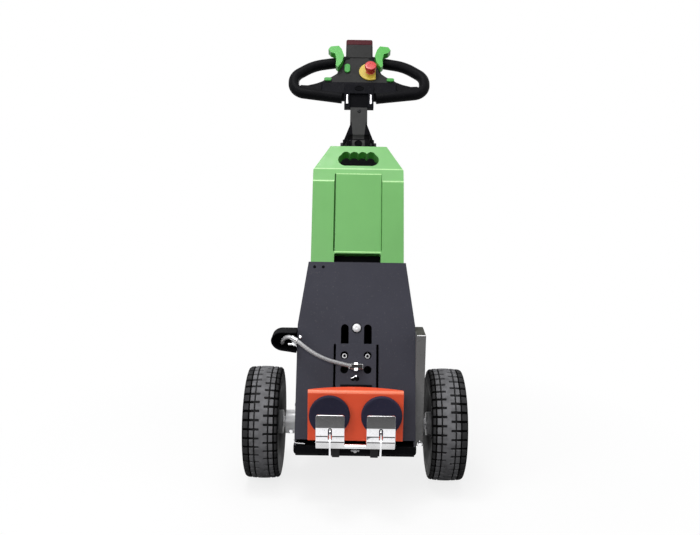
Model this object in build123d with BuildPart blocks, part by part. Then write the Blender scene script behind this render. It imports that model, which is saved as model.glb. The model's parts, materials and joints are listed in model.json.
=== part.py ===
"""Electric tow tractor, walk-behind, with a lift-out battery, a tilting tiller and a two-hook coupling.

The operator walks ahead of the +Y end and holds the tiller. The coupling faces -Y.
Lengths are in millimetres. +Z is up, and the origin is on the floor under the middle of the machine.
"""

import os
from math import cos, radians, sin, tan

from build123d import *

os.makedirs("parts", exist_ok=True)

# Driving dimensions

# Drive wheels and axle
TYRE_DIAMETER = 260
TYRE_WIDTH = 80
TYRE_CROWN_DROP = 2
TYRE_SHOULDER_DROP = 10
TYRE_SHOULDER_WIDTH = 7
TYRE_BELLY = 2.5
TRACK = 423
RIM_RADIUS = 52
RIM_WIDTH = 52
RIM_WALL = 7
RIM_WEB = 10
HUB_RADIUS = 27.5
AXLE_RADIUS = 12.5
AXLE_GRIP = 26
RUNNING_GAP = 0.3
MOVING_GAP = 6
AXLE_HEIGHT = TYRE_DIAMETER / 2
TYRE_INNER = TRACK / 2 - TYRE_WIDTH / 2

# Sheet-metal body: the front plate leans back, and all that follows it is placed along that lean
PLATE_LEAN = 22
PLATE_FOOT_AHEAD = 140
PLATE_FOOT_HEIGHT = AXLE_HEIGHT + 12
PLATE_LENGTH = 400
PLATE_SHOULDER = 254
BODY_TO_TYRE = 38.5
PLATE_HALF_WIDTH = TYRE_INNER - BODY_TO_TYRE
PLATE_TAPER = 21
PLATE_TOP_HALF_WIDTH = PLATE_HALF_WIDTH - PLATE_TAPER
PLATE_THICKNESS = 4
SHEET = 4
BEAM_FRONT_AHEAD = 143
BEAM_DEPTH = 53
BEAM_TOP = AXLE_HEIGHT - 2
BEAM_HEIGHT = 24
BEAM_OVERHANG = 2
BEAM_HALF_WIDTH = PLATE_HALF_WIDTH + BEAM_OVERHANG
AXLE_SADDLE = 38
REAR_BASE_HEIGHT = AXLE_HEIGHT + 30
REAR_BASE_THICKNESS = 5
BODY_REAR = 300
BODY_REAR_LIP = REAR_BASE_HEIGHT + 55
REAR_BASE_FRONT = 85

# Battery and its tray
BATTERY_SIDE_GAP = 4.5
BATTERY_WIDTH = 2 * (PLATE_TOP_HALF_WIDTH - BATTERY_SIDE_GAP)
BATTERY_THICKNESS = 115
BATTERY_FOOT = 262
BATTERY_SHOULDER = 601
BATTERY_BAND = 631
BATTERY_BAND_SETBACK = 8
BATTERY_LEDGE = 3.5
BATTERY_TOP = 698
BATTERY_TOP_SETBACK = 34
BATTERY_CORNER = 39.5
BATTERY_TOP_HALF_WIDTH = BATTERY_WIDTH / 2 - BATTERY_CORNER
BATTERY_CHAMFER_FOOT = 628
BATTERY_STEP = 640
HANDLE_BAR_DEPTH = 38
HANDLE_HOLE_HALF_WIDTH = 49
HANDLE_HOLE_HEIGHT = 36
FINGER_RADIUS = 11
RECESS_HALF_WIDTH = 54
RECESS_DEPTH = 14
RECESS_FOOT = 430
RECESS_TOP = 616
POCKET_DEPTH = 44
POCKET_TOP = 422
POCKET_FOOT = 384
POCKET_CORNER = 4
CONTACT_BLOCK_DEPTH = 18
BATTERY_EDGE = 5
TRAY_WALL_TOP = 396
BACK_REST_TOP = 700
BACK_REST_HALF_WIDTH = 60
PEEP_HOLE_RADIUS = 2.5
PEEP_HOLES = (-98, -78)
PEEP_HOLE_ALONG = 388

# Mast and tiller
MAST_HALF_WIDTH = 22
MAST_DEPTH = 36
MAST_FOOT = 300
MAST_WALL = 4
PIVOT_ALONG = 739
PIVOT_SETBACK = 18
PIVOT_PIN_RADIUS = 8
PIVOT_BOSS_RADIUS = 14
CABLE_HOLE_RADIUS = 10
CHEEK_INNER = 35
CHEEK_THICKNESS = 5
CHEEK_BEND = 2
FORK_NECK = 52
FORK_WEB = 24.5
PIN_OVERHANG = 6
TILLER_LEAN = 25
SHAFT_LENGTH = 135
SHAFT_HALF_WIDTH = 22
SHAFT_DEPTH = 32

# Tiller head, drawn on its own tilted plane: across the machine, then along the head
HEAD_TILT = 50
HEAD_BELOW = 15
HEAD_ABOVE = 18
HEAD_END_HALF_WIDTH = 36
HEAD_END_ALONG = 180
HEAD_EDGE = 5
HEAD_CORNER = 6
WING_HALF_WIDTH = 99
WING_FOOT = 0
BELLY_SWITCH_LENGTH = 22
BELLY_SWITCH_BELOW = 18
BELLY_SWITCH_ABOVE = 15
GRIP_RADIUS = 14.25
GRIP_LIFT = 5
GRIP_WEB = 15
STOP_ACROSS = 29.5
STOP_ALONG = 76
STOP_PLATE_RADIUS = 30
STOP_PLATE_EDGE = 43.5
STOP_PLATE_THICKNESS = 4
STOP_STEM_RADIUS = 11
STOP_STEM_LENGTH = 10
STOP_CAP_RADIUS = 15.5
STOP_CAP_LENGTH = 14
BUTTON_ACROSS = 31.6
BUTTON_ALONG = 87
BUTTON_WIDTH = 15
BUTTON_LENGTH = 30
BUTTON_HEIGHT = 5
WING_BUTTON_ACROSS = 82
WING_BUTTON_ALONG = 47
WING_BUTTON_LENGTH = 20
WING_BUTTON_WIDTH = 11
LEVER_THICKNESS = 18
CLAMP_HALF_WIDTH = 38
CLAMP_EAR = 14
CLAMP_FOOT = 98
CLAMP_BRIDGE = 138
CLAMP_TOP = 165
CLAMP_FRONT = 22
CLAMP_BACK = -6

# Coupling
CARRIAGE_HALF_WIDTH = 45
CARRIAGE_FOOT = 40
CARRIAGE_TOP = 211
CARRIAGE_THICKNESS = 7
HOLE_ACROSS = 26
HOLE_RADIUS = 8.75
HOLE_ROWS = (153, 185)
SLOT_TOP = 256
SLOT_FOOT = 110
SIDE_SLOT_ACROSS = 48
SIDE_SLOT_WIDTH = 5
COUPLING_AHEAD = 165
COUPLING_HALF_WIDTH = 103
COUPLING_ABOVE_AXLE = 20
COUPLING_HEIGHT = 112
COUPLING_FOOT = AXLE_HEIGHT + COUPLING_ABOVE_AXLE
COUPLING_TOP = COUPLING_FOOT + COUPLING_HEIGHT
COUPLING_PLATE = 6
COUPLING_BEND = 8
COUPLING_FLANGE_MIDDLE = 30
COUPLING_FLANGE_END = 9
GUSSET_ACROSS = 34
GUSSET_THICKNESS = 8
GUSSET_FOOT = COUPLING_FOOT + 18
GUSSET_TOP = COUPLING_TOP - 22
BUFFER_ACROSS = 56
BUFFER_HEIGHT = COUPLING_FOOT + 59
BUFFER_RADIUS = 44
BUFFER_THICKNESS = 12
HOOK_ACROSS = 53
HOOK_WIDTH = 60
HOOK_PLATE = 4
HOOK_REACH = 63
HOOK_TOP = COUPLING_FOOT + 79
HOOK_BEND = 24
HOOK_CORNER = 5
HOOK_SLOT_WIDTH = 8
HOOK_SLOT_FOOT = COUPLING_FOOT + 26
HOOK_SLOT_TOP = COUPLING_FOOT + 52
RIB_THICKNESS = 4
RIB_PROUD = 6
RIB_DROP = 15
HOOK_BAR_RADIUS = 5
HOOK_BAR_HALF_LENGTH = 78
HOOK_BAR_SETBACK = 12

# Side fittings
BOX_TO_TYRE = 17.5
BOX_RISE = 239
BOX_DROP = 18
HOUSING_OUTER = TYRE_INNER - BOX_TO_TYRE
HOUSING_FOOT = BEAM_TOP - BOX_DROP
HOUSING_TOP = BEAM_TOP + BOX_RISE
HOUSING_FRONT = BEAM_DEPTH - BEAM_FRONT_AHEAD
HOUSING_REAR = -8
CUP_WIDTH = 57
CUP_HEIGHT = 47
CUP_RISE = 179
CUP_OUTER = PLATE_HALF_WIDTH + CUP_WIDTH
CUP_FOOT = PLATE_FOOT_HEIGHT + CUP_RISE
CUP_TOP = CUP_FOOT + CUP_HEIGHT
CUP_FRONT = -84
CUP_REAR = -36
CUP_WALL = 3
CABLE_RADIUS = 4.5
CABLE_END_X = -10
CABLE_SPAN = PLATE_HALF_WIDTH + 25
CABLE_REACH = 62
CABLE_RISE = 25
CABLE_START_ABOVE = 13
FITTING_RADIUS = 7

# Castor under the rear base
CASTOR_BEHIND = 235
CASTOR_TRAIL = 42
CASTOR_CLEAR = 11
CASTOR_WIDTH = 36
CASTOR_HUB_RADIUS = 40
CASTOR_PLATE_LENGTH = 105
CASTOR_PLATE_WIDTH = 85
CASTOR_PLATE_THICKNESS = 4
CASTOR_HEAD_RADIUS = 33
CASTOR_CROWN = 20
CASTOR_RADIUS = (REAR_BASE_HEIGHT - CASTOR_PLATE_THICKNESS - CASTOR_CROWN - CASTOR_CLEAR) / 2
CASTOR_LEG = 4
CASTOR_AXLE_RADIUS = 6
KINGPIN_RADIUS = 8

# Drive unit, a plain block for the gearbox with its motor
GEARBOX_TO_PANEL = 36
GEARBOX_HALF_WIDTH = PLATE_HALF_WIDTH - GEARBOX_TO_PANEL
GEARBOX_HALF_LENGTH = 62
GEARBOX_FOOT = AXLE_HEIGHT - 58
GEARBOX_TOP = AXLE_HEIGHT + 70
MOTOR_RADIUS = 52
MOTOR_HEIGHT = AXLE_HEIGHT + 102
MOTOR_LENGTH = 150

# Worked-out places, first seen from the axle and then from the origin

LEAN_SIN = sin(radians(PLATE_LEAN))
LEAN_COS = cos(radians(PLATE_LEAN))
TILLER_SIN = sin(radians(TILLER_LEAN))
TILLER_COS = cos(radians(TILLER_LEAN))
HEAD_SIN = sin(radians(HEAD_TILT))
HEAD_COS = cos(radians(HEAD_TILT))

BATTERY_FRONT = PLATE_THICKNESS + RUNNING_GAP
BATTERY_BACK = BATTERY_FRONT + BATTERY_THICKNESS
TRAY_BACK = BATTERY_BACK + RUNNING_GAP
MAST_FRONT = TRAY_BACK + SHEET
PIVOT_DEEP = MAST_FRONT + PIVOT_SETBACK

PIVOT_BEHIND = PIVOT_ALONG * LEAN_SIN + PIVOT_DEEP * LEAN_COS - PLATE_FOOT_AHEAD
PIVOT_HEIGHT = PLATE_FOOT_HEIGHT + PIVOT_ALONG * LEAN_COS - PIVOT_DEEP * LEAN_SIN
HEAD_BEHIND = PIVOT_BEHIND + SHAFT_LENGTH * TILLER_SIN
HEAD_HEIGHT = PIVOT_HEIGHT + SHAFT_LENGTH * TILLER_COS

FRONT_REACH = COUPLING_AHEAD + HOOK_REACH + RIB_PROUD
BELLY_SWITCH_END = HEAD_END_ALONG + BELLY_SWITCH_LENGTH
REAR_REACH = HEAD_BEHIND + BELLY_SWITCH_END * HEAD_COS + BELLY_SWITCH_BELOW * HEAD_SIN
AXLE_Y = (FRONT_REACH - REAR_REACH) / 2
LONG_CUT = 2 * (FRONT_REACH + REAR_REACH)

SIDES = (-1, 1)
NAMED_SIDES = (("left", -1), ("right", 1))
WHEEL_X = TRACK / 2
AXLE = (0, AXLE_Y, AXLE_HEIGHT)
CASTOR_Y = AXLE_Y + CASTOR_BEHIND


def along_plate(along, deep):
    """World (y, z) of a point that lies along the leaning plate and deep behind its front face."""
    y = AXLE_Y - PLATE_FOOT_AHEAD + along * LEAN_SIN + deep * LEAN_COS
    z = PLATE_FOOT_HEIGHT + along * LEAN_COS - deep * LEAN_SIN
    return y, z


def plate_plane(deep):
    """Plane parallel to the front plate: x across, y up the lean, z out of the front face."""
    y, z = along_plate(0, deep)
    return Plane(origin=(0, y, z), x_dir=(1, 0, 0), z_dir=(0, -LEAN_COS, LEAN_SIN))


def side_plane(x):
    """Vertical plane seen from the right side: local (x, y) are the world (y, z)."""
    return Plane(origin=(x, 0, 0), x_dir=(0, 1, 0), z_dir=(1, 0, 0))


def shaft_plane(out):
    """Plane of the tiller shaft through its pivot: x across, y up the shaft, z towards the coupling."""
    normal = Vector(0, -TILLER_COS, TILLER_SIN)
    pivot = Vector(0, AXLE_Y + PIVOT_BEHIND, PIVOT_HEIGHT)
    return Plane(origin=pivot + normal * out, x_dir=(1, 0, 0), z_dir=normal)


def head_plane(out):
    """Plane of the tiller head: x across, y along the head, z up out of its panel."""
    normal = Vector(0, -HEAD_SIN, HEAD_COS)
    foot = Vector(0, AXLE_Y + HEAD_BEHIND, HEAD_HEIGHT)
    return Plane(origin=foot + normal * out, x_dir=(1, 0, 0), z_dir=normal)


def finish(piece, name):
    """Labels a finished piece and writes its file."""
    piece.part.label = name
    export_step(piece.part, f"parts/{name}.step")


# Body

plate_outline = [
    (-PLATE_HALF_WIDTH, 0),
    (PLATE_HALF_WIDTH, 0),
    (PLATE_HALF_WIDTH, PLATE_SHOULDER),
    (PLATE_TOP_HALF_WIDTH, PLATE_LENGTH),
    (-PLATE_TOP_HALF_WIDTH, PLATE_LENGTH),
    (-PLATE_HALF_WIDTH, PLATE_SHOULDER),
]
with BuildPart() as front_plate:
    with BuildSketch(plate_plane(0)):
        Polygon(*plate_outline, align=None)
        slot_middle = (SLOT_TOP + SLOT_FOOT) / 2
        with Locations((-HOLE_ACROSS, slot_middle), (HOLE_ACROSS, slot_middle)):
            SlotOverall(SLOT_TOP - SLOT_FOOT, 2 * HOLE_RADIUS, rotation=90, mode=Mode.SUBTRACT)
        side_slot_length = CARRIAGE_TOP - CARRIAGE_FOOT
        side_slot_middle = (CARRIAGE_TOP + CARRIAGE_FOOT) / 2
        with Locations((-SIDE_SLOT_ACROSS, side_slot_middle), (SIDE_SLOT_ACROSS, side_slot_middle)):
            SlotOverall(side_slot_length, SIDE_SLOT_WIDTH, rotation=90, mode=Mode.SUBTRACT)
        with Locations(*[(across, PEEP_HOLE_ALONG) for across in PEEP_HOLES]):
            Circle(PEEP_HOLE_RADIUS, mode=Mode.SUBTRACT)
    extrude(amount=-PLATE_THICKNESS)
finish(front_plate, "front_plate")

shoulder_height = along_plate(PLATE_SHOULDER, 0)[1]
top_height = along_plate(PLATE_LENGTH, 0)[1]
taper = (PLATE_HALF_WIDTH - PLATE_TOP_HALF_WIDTH) / (top_height - shoulder_height)
panel_top = top_height + SHEET
panel_top_half = PLATE_HALF_WIDTH - taper * (panel_top - shoulder_height)
hood_top = along_plate(PLATE_LENGTH, MAST_FRONT + MAST_DEPTH + RUNNING_GAP)
foot_along = (BEAM_TOP - along_plate(0, PLATE_THICKNESS)[1]) / LEAN_COS
side_outline = [
    along_plate(foot_along, PLATE_THICKNESS),
    along_plate(PLATE_LENGTH, PLATE_THICKNESS),
    hood_top,
    (AXLE_Y + BODY_REAR, BODY_REAR_LIP),
    (AXLE_Y + BODY_REAR, REAR_BASE_HEIGHT),
    (AXLE_Y + REAR_BASE_FRONT, REAR_BASE_HEIGHT),
    (AXLE_Y + AXLE_SADDLE, AXLE_HEIGHT - AXLE_SADDLE),
    (AXLE_Y - AXLE_SADDLE, AXLE_HEIGHT - AXLE_SADDLE),
    (AXLE_Y - BEAM_FRONT_AHEAD + BEAM_DEPTH, BEAM_TOP),
]
inner_half = PLATE_HALF_WIDTH - SHEET
with BuildPart() as side_panels:
    with BuildSketch(Plane.XZ.offset(-LONG_CUT / 2)):
        for sign in SIDES:
            Polygon(
                (sign * PLATE_HALF_WIDTH, 0),
                (sign * PLATE_HALF_WIDTH, shoulder_height),
                (sign * panel_top_half, panel_top),
                (sign * (panel_top_half - SHEET), panel_top),
                (sign * inner_half, shoulder_height),
                (sign * inner_half, 0),
                align=None,
            )
    extrude(amount=LONG_CUT)
    with BuildSketch(side_plane(-TRACK)):
        Polygon(*side_outline, align=None)
    extrude(amount=2 * TRACK, mode=Mode.INTERSECT)
    with BuildSketch(side_plane(-TRACK)):
        with Locations((AXLE_Y, AXLE_HEIGHT)):
            Circle(HUB_RADIUS)
    extrude(amount=2 * TRACK, mode=Mode.SUBTRACT)
finish(side_panels, "side_panels")

with BuildPart() as rear_hood:
    with BuildSketch(side_plane(-PLATE_HALF_WIDTH)):
        with BuildLine():
            Polyline(
                along_plate(PLATE_LENGTH, MAST_FRONT),
                hood_top,
                (AXLE_Y + BODY_REAR, BODY_REAR_LIP),
                (AXLE_Y + BODY_REAR, REAR_BASE_HEIGHT),
            )
            offset(amount=SHEET, side=Side.LEFT)
        make_face()
    extrude(amount=2 * PLATE_HALF_WIDTH)
    with BuildSketch(Plane.XZ.offset(-LONG_CUT / 2)):
        Polygon(
            (-PLATE_HALF_WIDTH, 0),
            (PLATE_HALF_WIDTH, 0),
            (PLATE_HALF_WIDTH, shoulder_height),
            (panel_top_half, panel_top),
            (-panel_top_half, panel_top),
            (-PLATE_HALF_WIDTH, shoulder_height),
            align=None,
        )
    extrude(amount=LONG_CUT, mode=Mode.INTERSECT)
    with BuildSketch(plate_plane(MAST_FRONT)):
        with Locations((0, PLATE_LENGTH)):
            Rectangle(2 * MAST_HALF_WIDTH, PLATE_LENGTH / 4)
    extrude(amount=-MAST_DEPTH, mode=Mode.SUBTRACT)
finish(rear_hood, "rear_hood")

with BuildPart() as front_beam:
    beam_y = AXLE_Y - BEAM_FRONT_AHEAD + BEAM_DEPTH / 2
    with BuildSketch(Plane.XY.offset(BEAM_TOP - BEAM_HEIGHT)):
        with Locations((0, beam_y)):
            Rectangle(2 * BEAM_HALF_WIDTH, BEAM_DEPTH)
    extrude(amount=BEAM_HEIGHT)
    with BuildSketch(Plane.XY.offset(BEAM_TOP - BEAM_HEIGHT)):
        with Locations((0, beam_y)):
            Rectangle(2 * (BEAM_HALF_WIDTH - SHEET), BEAM_DEPTH - 2 * SHEET)
    extrude(amount=BEAM_HEIGHT - SHEET, mode=Mode.SUBTRACT)
finish(front_beam, "front_beam")

with BuildPart() as rear_base:
    with BuildSketch(Plane.XY.offset(REAR_BASE_HEIGHT)):
        base_length = BODY_REAR - REAR_BASE_FRONT
        with Locations((0, AXLE_Y + REAR_BASE_FRONT + base_length / 2)):
            Rectangle(2 * inner_half, base_length)
        with Locations((0, CASTOR_Y)):
            Circle(KINGPIN_RADIUS + RUNNING_GAP, mode=Mode.SUBTRACT)
    extrude(amount=REAR_BASE_THICKNESS)
finish(rear_base, "rear_base")

with BuildPart() as battery_tray:
    with BuildSketch(side_plane(-inner_half)):
        Polygon(
            along_plate(BATTERY_FOOT - RUNNING_GAP - SHEET, PLATE_THICKNESS),
            along_plate(BATTERY_FOOT - RUNNING_GAP, PLATE_THICKNESS),
            along_plate(BATTERY_FOOT - RUNNING_GAP, TRAY_BACK),
            along_plate(TRAY_WALL_TOP, TRAY_BACK),
            along_plate(TRAY_WALL_TOP, MAST_FRONT),
            along_plate(BATTERY_FOOT - RUNNING_GAP - SHEET, MAST_FRONT),
            align=None,
        )
    extrude(amount=2 * inner_half)
    with BuildSketch(Plane.XZ.offset(-LONG_CUT / 2)):
        Polygon(
            (-inner_half, 0),
            (inner_half, 0),
            (inner_half, shoulder_height),
            (panel_top_half - SHEET, panel_top),
            (SHEET - panel_top_half, panel_top),
            (-inner_half, shoulder_height),
            align=None,
        )
    extrude(amount=LONG_CUT, mode=Mode.INTERSECT)
    with BuildSketch(plate_plane(TRAY_BACK)):
        with Locations((0, (BATTERY_FOOT + BACK_REST_TOP) / 2)):
            Rectangle(2 * BACK_REST_HALF_WIDTH, BACK_REST_TOP - BATTERY_FOOT)
    extrude(amount=-SHEET)
finish(battery_tray, "battery_tray")

# Battery case: a side profile, cut to its front outline, then relieved at the handle and the recess

band_deep = BATTERY_FRONT + BATTERY_BAND_SETBACK
top_deep = BATTERY_FRONT + BATTERY_TOP_SETBACK
bar_back = top_deep + HANDLE_BAR_DEPTH
battery_half = BATTERY_WIDTH / 2
with BuildPart() as battery_case:
    with BuildSketch(side_plane(-battery_half)):
        Polygon(
            along_plate(BATTERY_FOOT, BATTERY_FRONT),
            along_plate(BATTERY_SHOULDER, BATTERY_FRONT),
            along_plate(BATTERY_SHOULDER, BATTERY_FRONT + BATTERY_LEDGE),
            along_plate(BATTERY_BAND, band_deep),
            along_plate(BATTERY_TOP, top_deep),
            along_plate(BATTERY_TOP, bar_back),
            along_plate(BATTERY_STEP, bar_back),
            along_plate(BATTERY_STEP, BATTERY_BACK),
            along_plate(BATTERY_FOOT, BATTERY_BACK),
            align=None,
        )
    extrude(amount=BATTERY_WIDTH)
    with BuildSketch(plate_plane(0)):
        Polygon(
            (-battery_half, BATTERY_FOOT),
            (battery_half, BATTERY_FOOT),
            (battery_half, BATTERY_CHAMFER_FOOT),
            (BATTERY_TOP_HALF_WIDTH, BATTERY_TOP),
            (-BATTERY_TOP_HALF_WIDTH, BATTERY_TOP),
            (-battery_half, BATTERY_CHAMFER_FOOT),
            align=None,
        )
    extrude(amount=-2 * BATTERY_BACK, mode=Mode.INTERSECT)
    lengthwise = Axis((0, 0, 0), (0, LEAN_SIN, LEAN_COS))
    long_edges = battery_case.edges().filter_by(lengthwise).group_by(SortBy.LENGTH)[-1]
    fillet(long_edges, BATTERY_EDGE)
    hole_middle = BATTERY_STEP + HANDLE_HOLE_HEIGHT / 2
    hole_roof = BATTERY_STEP + HANDLE_HOLE_HEIGHT
    with BuildSketch(plate_plane(0)):
        with Locations((0, hole_middle)):
            SlotOverall(2 * HANDLE_HOLE_HALF_WIDTH, HANDLE_HOLE_HEIGHT)
        finger_pitch = 2 * FINGER_RADIUS - 2
        with Locations((0, hole_roof - FINGER_RADIUS / 2)):
            with GridLocations(finger_pitch, 0, 4, 1):
                Circle(FINGER_RADIUS)
    extrude(amount=-2 * BATTERY_BACK, mode=Mode.SUBTRACT)
    with BuildSketch(plate_plane(BATTERY_FRONT + RECESS_DEPTH)):
        with Locations((0, (RECESS_FOOT + RECESS_TOP) / 2)):
            Rectangle(2 * RECESS_HALF_WIDTH, RECESS_TOP - RECESS_FOOT)
    extrude(amount=BATTERY_BACK, taper=-12, mode=Mode.SUBTRACT)
    with BuildSketch(plate_plane(BATTERY_FRONT + POCKET_DEPTH)):
        with Locations((0, (POCKET_TOP + POCKET_FOOT) / 2)):
            RectangleRounded(2 * RECESS_HALF_WIDTH, POCKET_TOP - POCKET_FOOT, POCKET_CORNER)
    extrude(amount=BATTERY_BACK, mode=Mode.SUBTRACT)
finish(battery_case, "battery_case")

with BuildPart() as battery_contact:
    with BuildSketch(plate_plane(BATTERY_FRONT + POCKET_DEPTH)):
        with Locations((0, (POCKET_TOP + POCKET_FOOT) / 2)):
            RectangleRounded(2 * RECESS_HALF_WIDTH, POCKET_TOP - POCKET_FOOT, POCKET_CORNER)
    extrude(amount=CONTACT_BLOCK_DEPTH)
finish(battery_contact, "battery_contact")

# Mast and tiller pivot

cheek_outer = CHEEK_INNER + CHEEK_THICKNESS
flare = (cheek_outer - SHAFT_HALF_WIDTH) / (FORK_NECK - CHEEK_BEND)
web_half = CHEEK_INNER - flare * (FORK_WEB - CHEEK_BEND)
boss_half = CHEEK_INNER - flare * PIVOT_BOSS_RADIUS - RUNNING_GAP

with BuildPart() as mast:
    with BuildSketch(side_plane(-MAST_HALF_WIDTH)):
        with BuildLine():
            mast_back = MAST_FRONT + MAST_DEPTH
            foot_front = along_plate(MAST_FOOT, MAST_FRONT)
            neck_front = along_plate(PIVOT_ALONG, MAST_FRONT)
            crown = along_plate(PIVOT_ALONG + MAST_DEPTH / 2, MAST_FRONT + MAST_DEPTH / 2)
            neck_back = along_plate(PIVOT_ALONG, mast_back)
            foot_back = along_plate(MAST_FOOT, mast_back)
            Line(foot_front, neck_front)
            ThreePointArc(neck_front, crown, neck_back)
            Polyline(neck_back, foot_back, foot_front)
        make_face()
    extrude(amount=2 * MAST_HALF_WIDTH)
    with BuildSketch(plate_plane(MAST_FRONT + MAST_WALL)):
        with Locations((0, (MAST_FOOT + PIVOT_ALONG) / 2)):
            Rectangle(2 * (MAST_HALF_WIDTH - MAST_WALL), PIVOT_ALONG - MAST_FOOT)
    extrude(amount=-(MAST_DEPTH - 2 * MAST_WALL), mode=Mode.SUBTRACT)
    with BuildSketch(side_plane(-boss_half)):
        with Locations((AXLE_Y + PIVOT_BEHIND, PIVOT_HEIGHT)):
            Circle(PIVOT_BOSS_RADIUS)
    extrude(amount=2 * boss_half)
    with BuildSketch(plate_plane(MAST_FRONT)):
        with Locations((0, PIVOT_ALONG)):
            Circle(CABLE_HOLE_RADIUS)
    extrude(amount=-MAST_WALL, mode=Mode.SUBTRACT)
    with BuildSketch(side_plane(-TRACK)):
        with Locations((AXLE_Y + PIVOT_BEHIND, PIVOT_HEIGHT)):
            Circle(PIVOT_PIN_RADIUS + RUNNING_GAP)
    extrude(amount=2 * TRACK, mode=Mode.SUBTRACT)
finish(mast, "mast")

pin_half = cheek_outer + PIN_OVERHANG
with BuildPart() as tiller_pin:
    with BuildSketch(side_plane(-pin_half)):
        with Locations((AXLE_Y + PIVOT_BEHIND, PIVOT_HEIGHT)):
            Circle(PIVOT_PIN_RADIUS)
    extrude(amount=2 * pin_half)
finish(tiller_pin, "tiller_pin")

# Tiller head housing first, because the shaft and clamp end against it

half_head = [
    (WING_HALF_WIDTH, WING_FOOT),
    (WING_HALF_WIDTH, 34),
    (96, 46),
    (86, 54),
    (73, 61),
    (60, 72),
    (53, 88),
    (44, 110),
    (HEAD_END_HALF_WIDTH, 128),
    (HEAD_END_HALF_WIDTH, HEAD_END_ALONG),
]
with BuildPart() as head_housing:
    with BuildSketch(head_plane(-HEAD_BELOW)):
        outline = Polygon(*half_head, *[(-x, y) for x, y in reversed(half_head)], align=None)
        fillet(outline.vertices(), HEAD_CORNER)
    extrude(amount=HEAD_BELOW + HEAD_ABOVE)
    through_head = Axis(head_plane(0).origin, head_plane(0).z_dir)
    fillet(head_housing.faces().sort_by(through_head)[-1].edges(), HEAD_EDGE)
    fillet(head_housing.faces().sort_by(through_head)[0].edges(), HEAD_EDGE)
finish(head_housing, "head_housing")

with BuildPart() as tiller_shaft:
    with BuildSketch(shaft_plane(-SHAFT_DEPTH / 2)):
        Polygon(
            (cheek_outer, 0),
            (cheek_outer, CHEEK_BEND),
            (SHAFT_HALF_WIDTH, FORK_NECK),
            (SHAFT_HALF_WIDTH, SHAFT_LENGTH),
            (-SHAFT_HALF_WIDTH, SHAFT_LENGTH),
            (-SHAFT_HALF_WIDTH, FORK_NECK),
            (-cheek_outer, CHEEK_BEND),
            (-cheek_outer, 0),
            align=None,
        )
        Polygon(
            (CHEEK_INNER, 0),
            (CHEEK_INNER, CHEEK_BEND),
            (web_half, FORK_WEB),
            (-web_half, FORK_WEB),
            (-CHEEK_INNER, CHEEK_BEND),
            (-CHEEK_INNER, 0),
            align=None,
            mode=Mode.SUBTRACT,
        )
    extrude(amount=SHAFT_DEPTH)
    for start in (-cheek_outer, CHEEK_INNER):
        with BuildSketch(side_plane(start)):
            with Locations((AXLE_Y + PIVOT_BEHIND, PIVOT_HEIGHT)):
                Circle(SHAFT_DEPTH / 2)
        extrude(amount=CHEEK_THICKNESS)
    with BuildSketch(side_plane(-TRACK)):
        with Locations((AXLE_Y + PIVOT_BEHIND, PIVOT_HEIGHT)):
            Circle(PIVOT_PIN_RADIUS)
    extrude(amount=2 * TRACK, mode=Mode.SUBTRACT)
    add(head_housing.part, mode=Mode.SUBTRACT)
finish(tiller_shaft, "tiller_shaft")

with BuildPart() as head_clamp:
    with BuildSketch(shaft_plane(-CLAMP_BACK)):
        with Locations((0, (CLAMP_FOOT + CLAMP_TOP) / 2)):
            Rectangle(2 * CLAMP_HALF_WIDTH, CLAMP_TOP - CLAMP_FOOT)
    extrude(amount=CLAMP_BACK + CLAMP_FRONT)
    with BuildSketch(shaft_plane(SHAFT_DEPTH / 2)):
        with Locations((0, (CLAMP_FOOT + CLAMP_BRIDGE) / 2)):
            Rectangle(2 * (CLAMP_HALF_WIDTH - CLAMP_EAR), CLAMP_BRIDGE - CLAMP_FOOT)
    extrude(amount=CLAMP_FRONT, mode=Mode.SUBTRACT)
    add(head_housing.part, mode=Mode.SUBTRACT)
    add(tiller_shaft.part, mode=Mode.SUBTRACT)
finish(head_clamp, "head_clamp")

grip_corners = [(26, 128), (121, 109), (173, 69), (171, 15), (44, -4)]
grip_radii = [110, 38, 33]
grip_web = [(60, 6), (60, 56), (86, 54), (99, 46), (113, 39), (135, 32), (153, 33), (158, 24), (110, 13)]
with BuildPart() as grips:
    for sign in SIDES:
        with BuildLine(head_plane(GRIP_LIFT)):
            grip_path = FilletPolyline(*[(sign * x, y) for x, y in grip_corners], radius=grip_radii)
        with BuildSketch(Plane(origin=grip_path @ 0, z_dir=grip_path % 0)):
            Circle(GRIP_RADIUS)
        sweep(path=grip_path)
    with BuildSketch(head_plane(GRIP_LIFT - GRIP_WEB / 2)):
        for sign in SIDES:
            Polygon(*[(sign * x, y) for x, y in grip_web], align=None)
    extrude(amount=GRIP_WEB)
    add(head_housing.part, mode=Mode.SUBTRACT)
finish(grips, "grips")

lever_outline = [
    (56, 76),
    (62, 83),
    (61, 108),
    (65, 125),
    (76, 130),
    (83, 140),
    (77, 151),
    (55, 154),
    (47, 141),
    (41, 119),
    (45, 98),
]
with BuildPart() as throttle_levers:
    with BuildSketch(head_plane(HEAD_ABOVE)):
        for sign in SIDES:
            Polygon(*[(sign * x, y) for x, y in lever_outline], align=None)
    extrude(amount=LEVER_THICKNESS)
    add(grips.part, mode=Mode.SUBTRACT)
finish(throttle_levers, "throttle_levers")

with BuildPart() as belly_switch:
    with BuildSketch(head_plane(-BELLY_SWITCH_BELOW)):
        with Locations((0, HEAD_END_ALONG + BELLY_SWITCH_LENGTH / 2)):
            Rectangle(2 * HEAD_END_HALF_WIDTH, BELLY_SWITCH_LENGTH)
    extrude(amount=BELLY_SWITCH_BELOW + BELLY_SWITCH_ABOVE)
finish(belly_switch, "belly_switch")

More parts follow.
